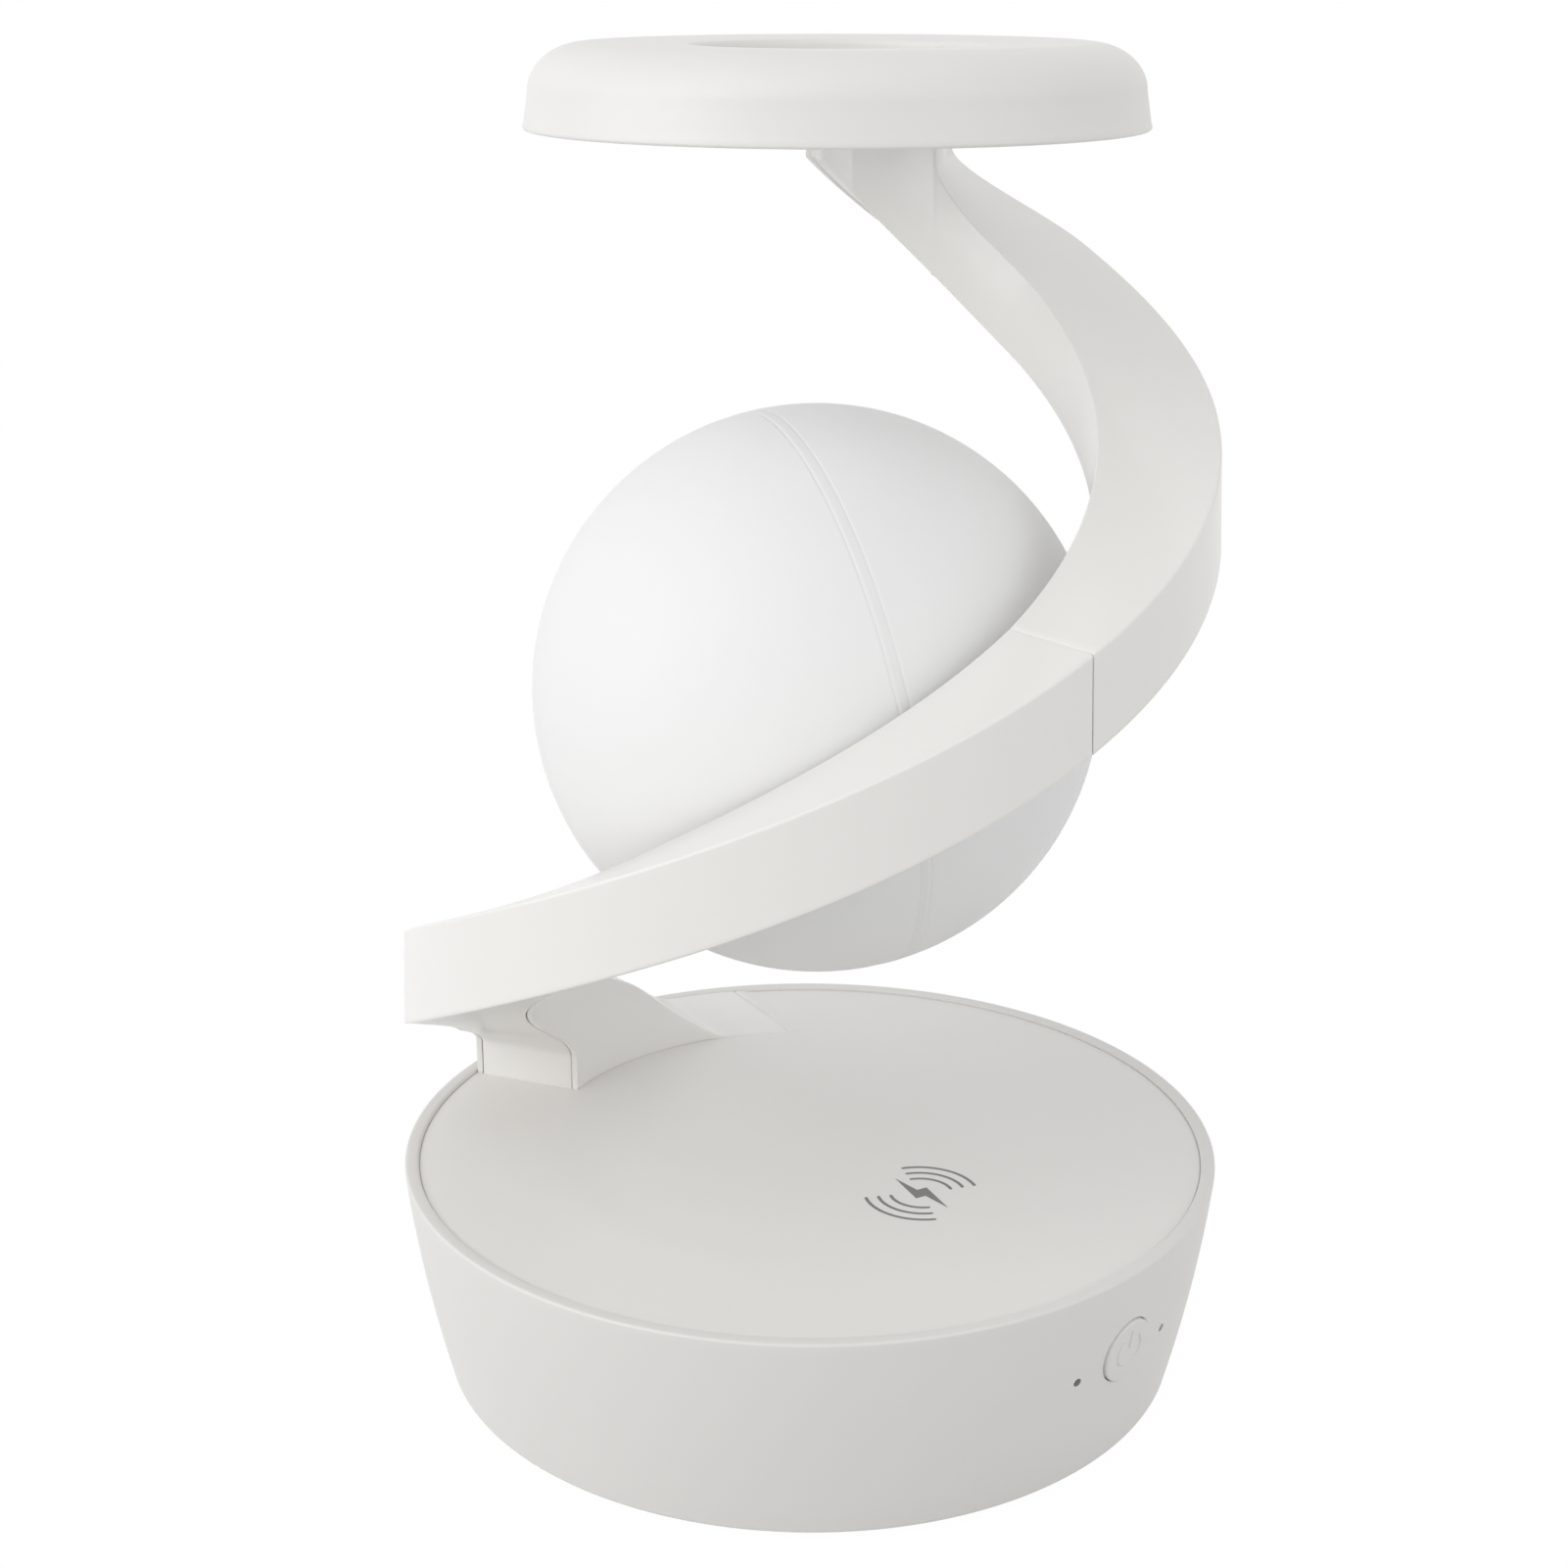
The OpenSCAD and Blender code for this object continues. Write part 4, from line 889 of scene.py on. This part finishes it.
def upper_section(s, stalk, spare=0.0, back=0.0):
    """Ring of the upper moulding, up to the head on the stalk, its upright edges turned back."""
    bottom = upper_bottom(s)
    inner_climb = climb((s - stalk_at + stalk_fillet_turn) / stalk_fillet_turn)
    outer_climb = climb((s - stalk_at + stalk_rise_turn) / stalk_rise_turn)
    inner_top = arm_top(s) + stalk_fillet_h * inner_climb
    outer_top = arm_top(s) + stalk_rise_h * outer_climb
    if stalk:
        inner_top = head_z
        outer_top = head_z

    def outer(z):
        return upper_side(s, z, stalk)

    roof = bottom + solid_roof if s > solid_tip_at else arm_top(s) - arm_top_t
    inner_r = upper_inner(s)
    wall = min(arm_wall, thin_wall * (upper_outer(s, bottom) - inner_r))
    middle = stalk_mid(s)
    heights = [mix(middle, head_z, t) for t in stalk_shares]
    heights += [mix(middle, bottom + row_margin, t) for t in side_shares]
    outline = channel_section(
        inner_r, outer, inner_top, outer_top, bottom, roof, wall, heights, spare
    )
    ring = ring_at(outline, s, upper_skew(s))
    if not back:
        return ring
    turned_back = []
    for (r, z), (x, y, level) in zip(outline, ring):
        near = min(r - inner_r, outer(min(z, outer_top - row_margin)) - r, back)
        ahead = max(0.0, climb(1 - near / back)) * back / degree_len
        across = (r - inner_r) / (outer(z) - inner_r)
        r += across * (upper_side(s + ahead, z, stalk) - outer(z))
        a = math.atan2(y, x) + math.radians(ahead)
        turned_back.append((r * math.cos(a), r * math.sin(a), level))
    return turned_back


arm_turns = even_turns(seam_at + seam_half, stalk_at - stalk_fillet_turn)[1:]
arm_turns += [stalk_at - stalk_fillet_turn * (1 - u) for u in fillet_steps]
upper_rings = [upper_section(seam_at + seam_half, False, end_edge)]
upper_rings += [upper_section(seam_at + seam_half + end_turn, False)]
upper_rings += [upper_section(s, False) for s in arm_turns]
upper_rings += [upper_section(stalk_at, False, back=stalk_edge)]
upper_rings += [upper_section(stalk_at + stalk_step, True, back=stalk_edge)]
stalk_turns = even_turns(stalk_at + stalk_edge / degree_len + stalk_edge_apart, solid_tip_at)
stalk_turns += even_turns(solid_tip_at + stalk_step, tip_round_at - round_apart)
stalk_turns += [tip_round_at, tip_round_at + round_apart]
stalk_turns += [tip_round_at + tip_round_turn * math.sin(math.radians(a)) for a in range(10, 86, 8)]
upper_rings += [upper_section(s, True) for s in stalk_turns]
upper_rings += [upper_section(tip_at - tip_round_turn * tip_end_share, True, tip_edge)]
# The upper moulding takes the arm's lighter white, with its painted light.
upper_arm = make_piece("upper_arm_moulding", *swept(upper_rings), arm_white)
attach(upper_arm, "lamp")
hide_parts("upper_arm")

# Upper strip: the moulded strip that closes the upper moulding from below. It snaps in
# between the walls as the lower one does and ends where the stalk becomes solid.
upper_path = [(s, upper_bottom(s)) for s in even_turns(seam_at + strip_gap, solid_tip_at - 1)]
upper_strip = make_piece(
    "upper_arm_closing_strip",
    *swept(strip_rings(upper_path, upper_inner, upper_outer, upper_skew)),
    strip_white,
)
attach(upper_strip, "lamp")
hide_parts("upper_arm_strip")

# Globe: two moulded half shells in milky plastic that spreads the light. They meet edge
# to edge, and two fine grooves along the joint leave a narrow band between them.
cap_low, cap_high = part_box("globe_cap")
body_low, body_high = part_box("globe_body")
globe_low = [min(a, b) for a, b in zip(cap_low, body_low)]
globe_high = [max(a, b) for a, b in zip(cap_high, body_high)]
globe_at = Vector([(a + b) / 2 / MM for a, b in zip(globe_low, globe_high)])
globe_r = (globe_high[0] - globe_low[0]) / 2 / MM
globe_wall = 2.0
seam_axis = Vector((0.933, 0.315, 0.175)).normalized()
band_half = 1.0
groove_half = 0.32
groove_depth = 0.11
groove_shares = (3, 1.2, 1, 0.5, 0, -0.5, -1)
band_middle = 0.4
globe_columns = 192
to_seam = Vector((0, 0, 1)).rotation_difference(seam_axis)


def globe_profile(side):
    """Half a shell's profile: outer face from the pole to the seam, then back inside."""
    profile = []
    fine = [band_half + groove_half * u for u in groove_shares] + [band_middle, 0.0]
    arcs = [math.radians(a) * globe_r for a in range(90, 4, -2)] + fine
    for length in arcs:
        a = length / globe_r
        dip = groove_depth * max(0.0, 1 - ((length - band_half) / groove_half) ** 2)
        profile.append(((globe_r - dip) * math.cos(a), side * (globe_r - dip) * math.sin(a)))
    inner_r = globe_r - globe_wall
    for a in [math.radians(a) for a in range(0, 91, 3)]:
        profile.append((inner_r * math.cos(a), side * inner_r * math.sin(a)))
    return profile


def milky_plastic(name, colour, roughness):
    finish = moulded_plastic(name, colour, roughness, grain_mm=0.3, grain_depth=0.003)
    shader = finish.node_tree.nodes["Principled BSDF"]
    shader.inputs["Subsurface Weight"].default_value = 0.1
    shader.inputs["Subsurface Radius"].default_value = (1, 1, 1)
    shader.inputs["Subsurface Scale"].default_value = 0.002
    shader.inputs["Specular IOR Level"].default_value = 0.3
    return finish


globe_milk = milky_plastic("globe_milk", (0.872, 0.872, 0.872), 0.5)
globe_halves = [("globe_cap_shell", "globe_cap", 1), ("globe_body_shell", "globe_body", -1)]
for name, node, side in globe_halves:
    points, faces = turned(globe_profile(side), globe_columns, closed=False)
    points = [tuple(globe_at + to_seam @ Vector(p)) for p in points]
    half = make_piece(name, points, faces.values(), globe_milk)
    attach(half, "lamp")
    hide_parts(node)

# Head: a ring-shaped cap in white plastic with an upright skirt, a round shoulder and
# an open middle. The diffuser snaps in below, and the stalk's screws hold it.
hole_r = 23.7
head_h = (head_high[2] - head_low[2]) / MM
skirt_share = 6 / 13.6
skirt_h = skirt_share * head_h
shoulder_w = 9.4
flare = 1.0
crown = 0.35
head_wall = 2.0
head_edge = 0.5
hole_edge_r = 1.0
step_w = 1.8
board_lift = 1.2
board_z = skirt_h + board_lift
top_r = head_r - flare - shoulder_w
crown_r = hole_r + hole_edge_r
crown_z = head_h - crown
head_inner_r = hole_r + head_wall
step_r = head_inner_r + step_w
head_columns = 256


def shoulder(wall):
    return [
        (
            top_r + (shoulder_w - wall) * math.cos(math.radians(a)),
            skirt_h + (head_h - skirt_h - wall) * math.sin(math.radians(a)),
        )
        for a in range(0, 91, 5)
    ]


head_profile = arc((head_r - head_edge, head_edge), head_edge, -90, 0, 4)
head_profile += [(mix(head_r, head_r - flare, t), mix(0, skirt_h, t)) for t in (0.2, 0.5, 0.8)]
head_profile += shoulder(0)
head_profile += [(mix(top_r, crown_r, t), mix(head_h, crown_z, t)) for t in (0.3, 0.6, 0.9)]
head_profile += arc((crown_r, crown_z - hole_edge_r), hole_edge_r, 90, 180, 6)
head_profile += arc((hole_r + head_edge, head_edge), head_edge, 180, 270, 4)
head_profile += [(head_inner_r, 0), (head_inner_r, board_z), (step_r, board_z)]
head_profile += [(step_r, crown_z - head_wall)]
head_profile += list(reversed(shoulder(head_wall))) + [(head_r - head_wall, 0)]
head_points, head_faces = turned(head_profile, head_columns)
head_points = [(x + head_shift, y, z + head_z) for x, y, z in head_points]
# The head's white is set darker than the cover's: painted shade that tones down its brightly lit
# top.
head_white = moulded_plastic("head_white", (0.807, 0.796, 0.777), 0.4)
head = make_piece("head_ring", head_points, head_faces.values(), head_white)
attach(head, "lamp")
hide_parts("head_shell")

# Inner fittings: the parts that the shells hide keep their plain solids. Each gets
# the finish of its own stuff: board lacquer, enamelled wire, ferrite, brass, rubber.
dress("head_diffuser", milky_plastic("diffuser_milk", (0.86, 0.86, 0.865), 0.45))
soften_edges("head_diffuser", 0.2)
board_white = moulded_plastic("board_white", (0.85, 0.85, 0.83), 0.35)
ferrite = moulded_plastic("ferrite_black", (0.05, 0.05, 0.055), 0.6, grain_depth=0.02)
fitting_grey = moulded_plastic("fitting_grey", (0.6, 0.6, 0.6), 0.5)
light_yellow = moulded_plastic("light_yellow", (0.9, 0.78, 0.35), 0.2)
fittings = [
    (plated_metal("coil_copper", (0.62, 0.3, 0.14), 0.4), ["charging_coil"]),
    (plated_metal("spacer_brass", (0.72, 0.56, 0.25), 0.3), ["foot_spacers"]),
    (ferrite, ["coil_shield", "tact_switch"]),
    (moulded_plastic("board_green", (0.04, 0.2, 0.09), 0.3), ["main_board", "switch_board"]),
    (board_white, ["head_board", "globe_lamp_board"]),
    (fitting_grey, ["arm_tenon", "globe_pin", "globe_collar", "globe_nut", "head_bracket"]),
    (moulded_plastic("lead_grey", (0.7, 0.7, 0.7), 0.55), ["arm_lead_wire"]),
    (rubber("gasket_grey", (0.6, 0.6, 0.6)), ["globe_gasket"]),
    (light_yellow, ["globe_lights", "head_lights"]),
]
for finish, held_nodes in fittings:
    for node in held_nodes:
        dress(node, finish)

# Studio: a wide pale floor that shows white with a faint shadow, two soft lamps from the
# left and a weaker one from the right, and the camera at the photograph's angle.
floor_half = 20.0
white_share = 0.96
floor_mesh = bpy.data.meshes.new("floor")
corners = [(-floor_half, -floor_half, 0), (floor_half, -floor_half, 0)]
corners += [(floor_half, floor_half, 0), (-floor_half, floor_half, 0)]
floor_mesh.from_pydata(corners, [], [(0, 1, 2, 3)])
floor = bpy.data.objects.new("floor", floor_mesh)
bpy.context.scene.collection.objects.link(floor)
paper = bpy.data.materials.new("pale_paper")
paper.use_nodes = True
nodes, links = paper.node_tree.nodes, paper.node_tree.links
matte = nodes["Principled BSDF"]
matte.inputs["Base Color"].default_value = (0.62, 0.62, 0.62, 1)
matte.inputs["Roughness"].default_value = 0.9
matte.inputs["Specular IOR Level"].default_value = 0.1
white_glow = nodes.new("ShaderNodeEmission")
white_glow.inputs["Strength"].default_value = 1.02


def seen_directly(nodes, links):
    """1 for rays from the camera, and for those that gloss or clear stuff sends on."""
    path = nodes.new("ShaderNodeLightPath")
    total = path.outputs["Is Camera Ray"]
    for kind in ("Is Glossy Ray", "Is Transmission Ray"):
        either = nodes.new("ShaderNodeMath")
        either.operation = "MAXIMUM"
        links.new(total, either.inputs[0])
        links.new(path.outputs[kind], either.inputs[1])
        total = either.outputs["Value"]
    return total


share = nodes.new("ShaderNodeMath")
share.operation = "MULTIPLY"
share.inputs[1].default_value = white_share
links.new(seen_directly(nodes, links), share.inputs[0])
blend = nodes.new("ShaderNodeMixShader")
links.new(share.outputs["Value"], blend.inputs["Fac"])
links.new(matte.outputs["BSDF"], blend.inputs[1])
links.new(white_glow.outputs["Emission"], blend.inputs[2])
links.new(blend.outputs["Shader"], nodes["Material Output"].inputs["Surface"])
floor_mesh.materials.append(paper)

room = bpy.data.worlds.new("studio")
bpy.context.scene.world = room
room.use_nodes = True
nodes, links = room.node_tree.nodes, room.node_tree.links
backdrop = nodes["Background"]
room_level = nodes.new("ShaderNodeMapRange")
room_level.inputs["To Min"].default_value = 0.64
room_level.inputs["To Max"].default_value = 1.0
links.new(seen_directly(nodes, links), room_level.inputs["Value"])
links.new(room_level.outputs["Result"], backdrop.inputs["Strength"])
backdrop.inputs["Color"].default_value = (1, 1, 1, 1)

lamp_size = 1.2
lamp_target = Vector((0, 0, 0.12))


def soft_lamp(name, place, power):
    lamp = bpy.data.lights.new(name, "AREA")
    lamp.size = lamp_size
    lamp.energy = power
    stand = bpy.data.objects.new(name, lamp)
    stand.location = place
    stand.rotation_euler = (lamp_target - Vector(place)).to_track_quat("-Z", "Y").to_euler()
    bpy.context.scene.collection.objects.link(stand)


soft_lamp("key", (-1.25, -0.45, 0.35), 7.5)
soft_lamp("high", (-0.8, -0.75, 1.0), 3.7)
soft_lamp("fill", (1.0, -0.75, 0.5), 3.3)

photo_px = 1601
focal_px = 2592.27
look_down = 0.3153
look_left = 0.0110
view = bpy.data.cameras.new("view")
view.sensor_width = 36
view.lens = view.sensor_width * focal_px / photo_px
view.clip_start = 0.02
viewer = bpy.data.objects.new("view", view)
viewer.location = (0, -0.43073, 0.25054)
viewer.rotation_euler = (math.pi / 2 - look_down, 0, look_left)
bpy.context.scene.collection.objects.link(viewer)
bpy.context.scene.camera = viewer
bpy.context.scene.view_settings.view_transform = "Standard"
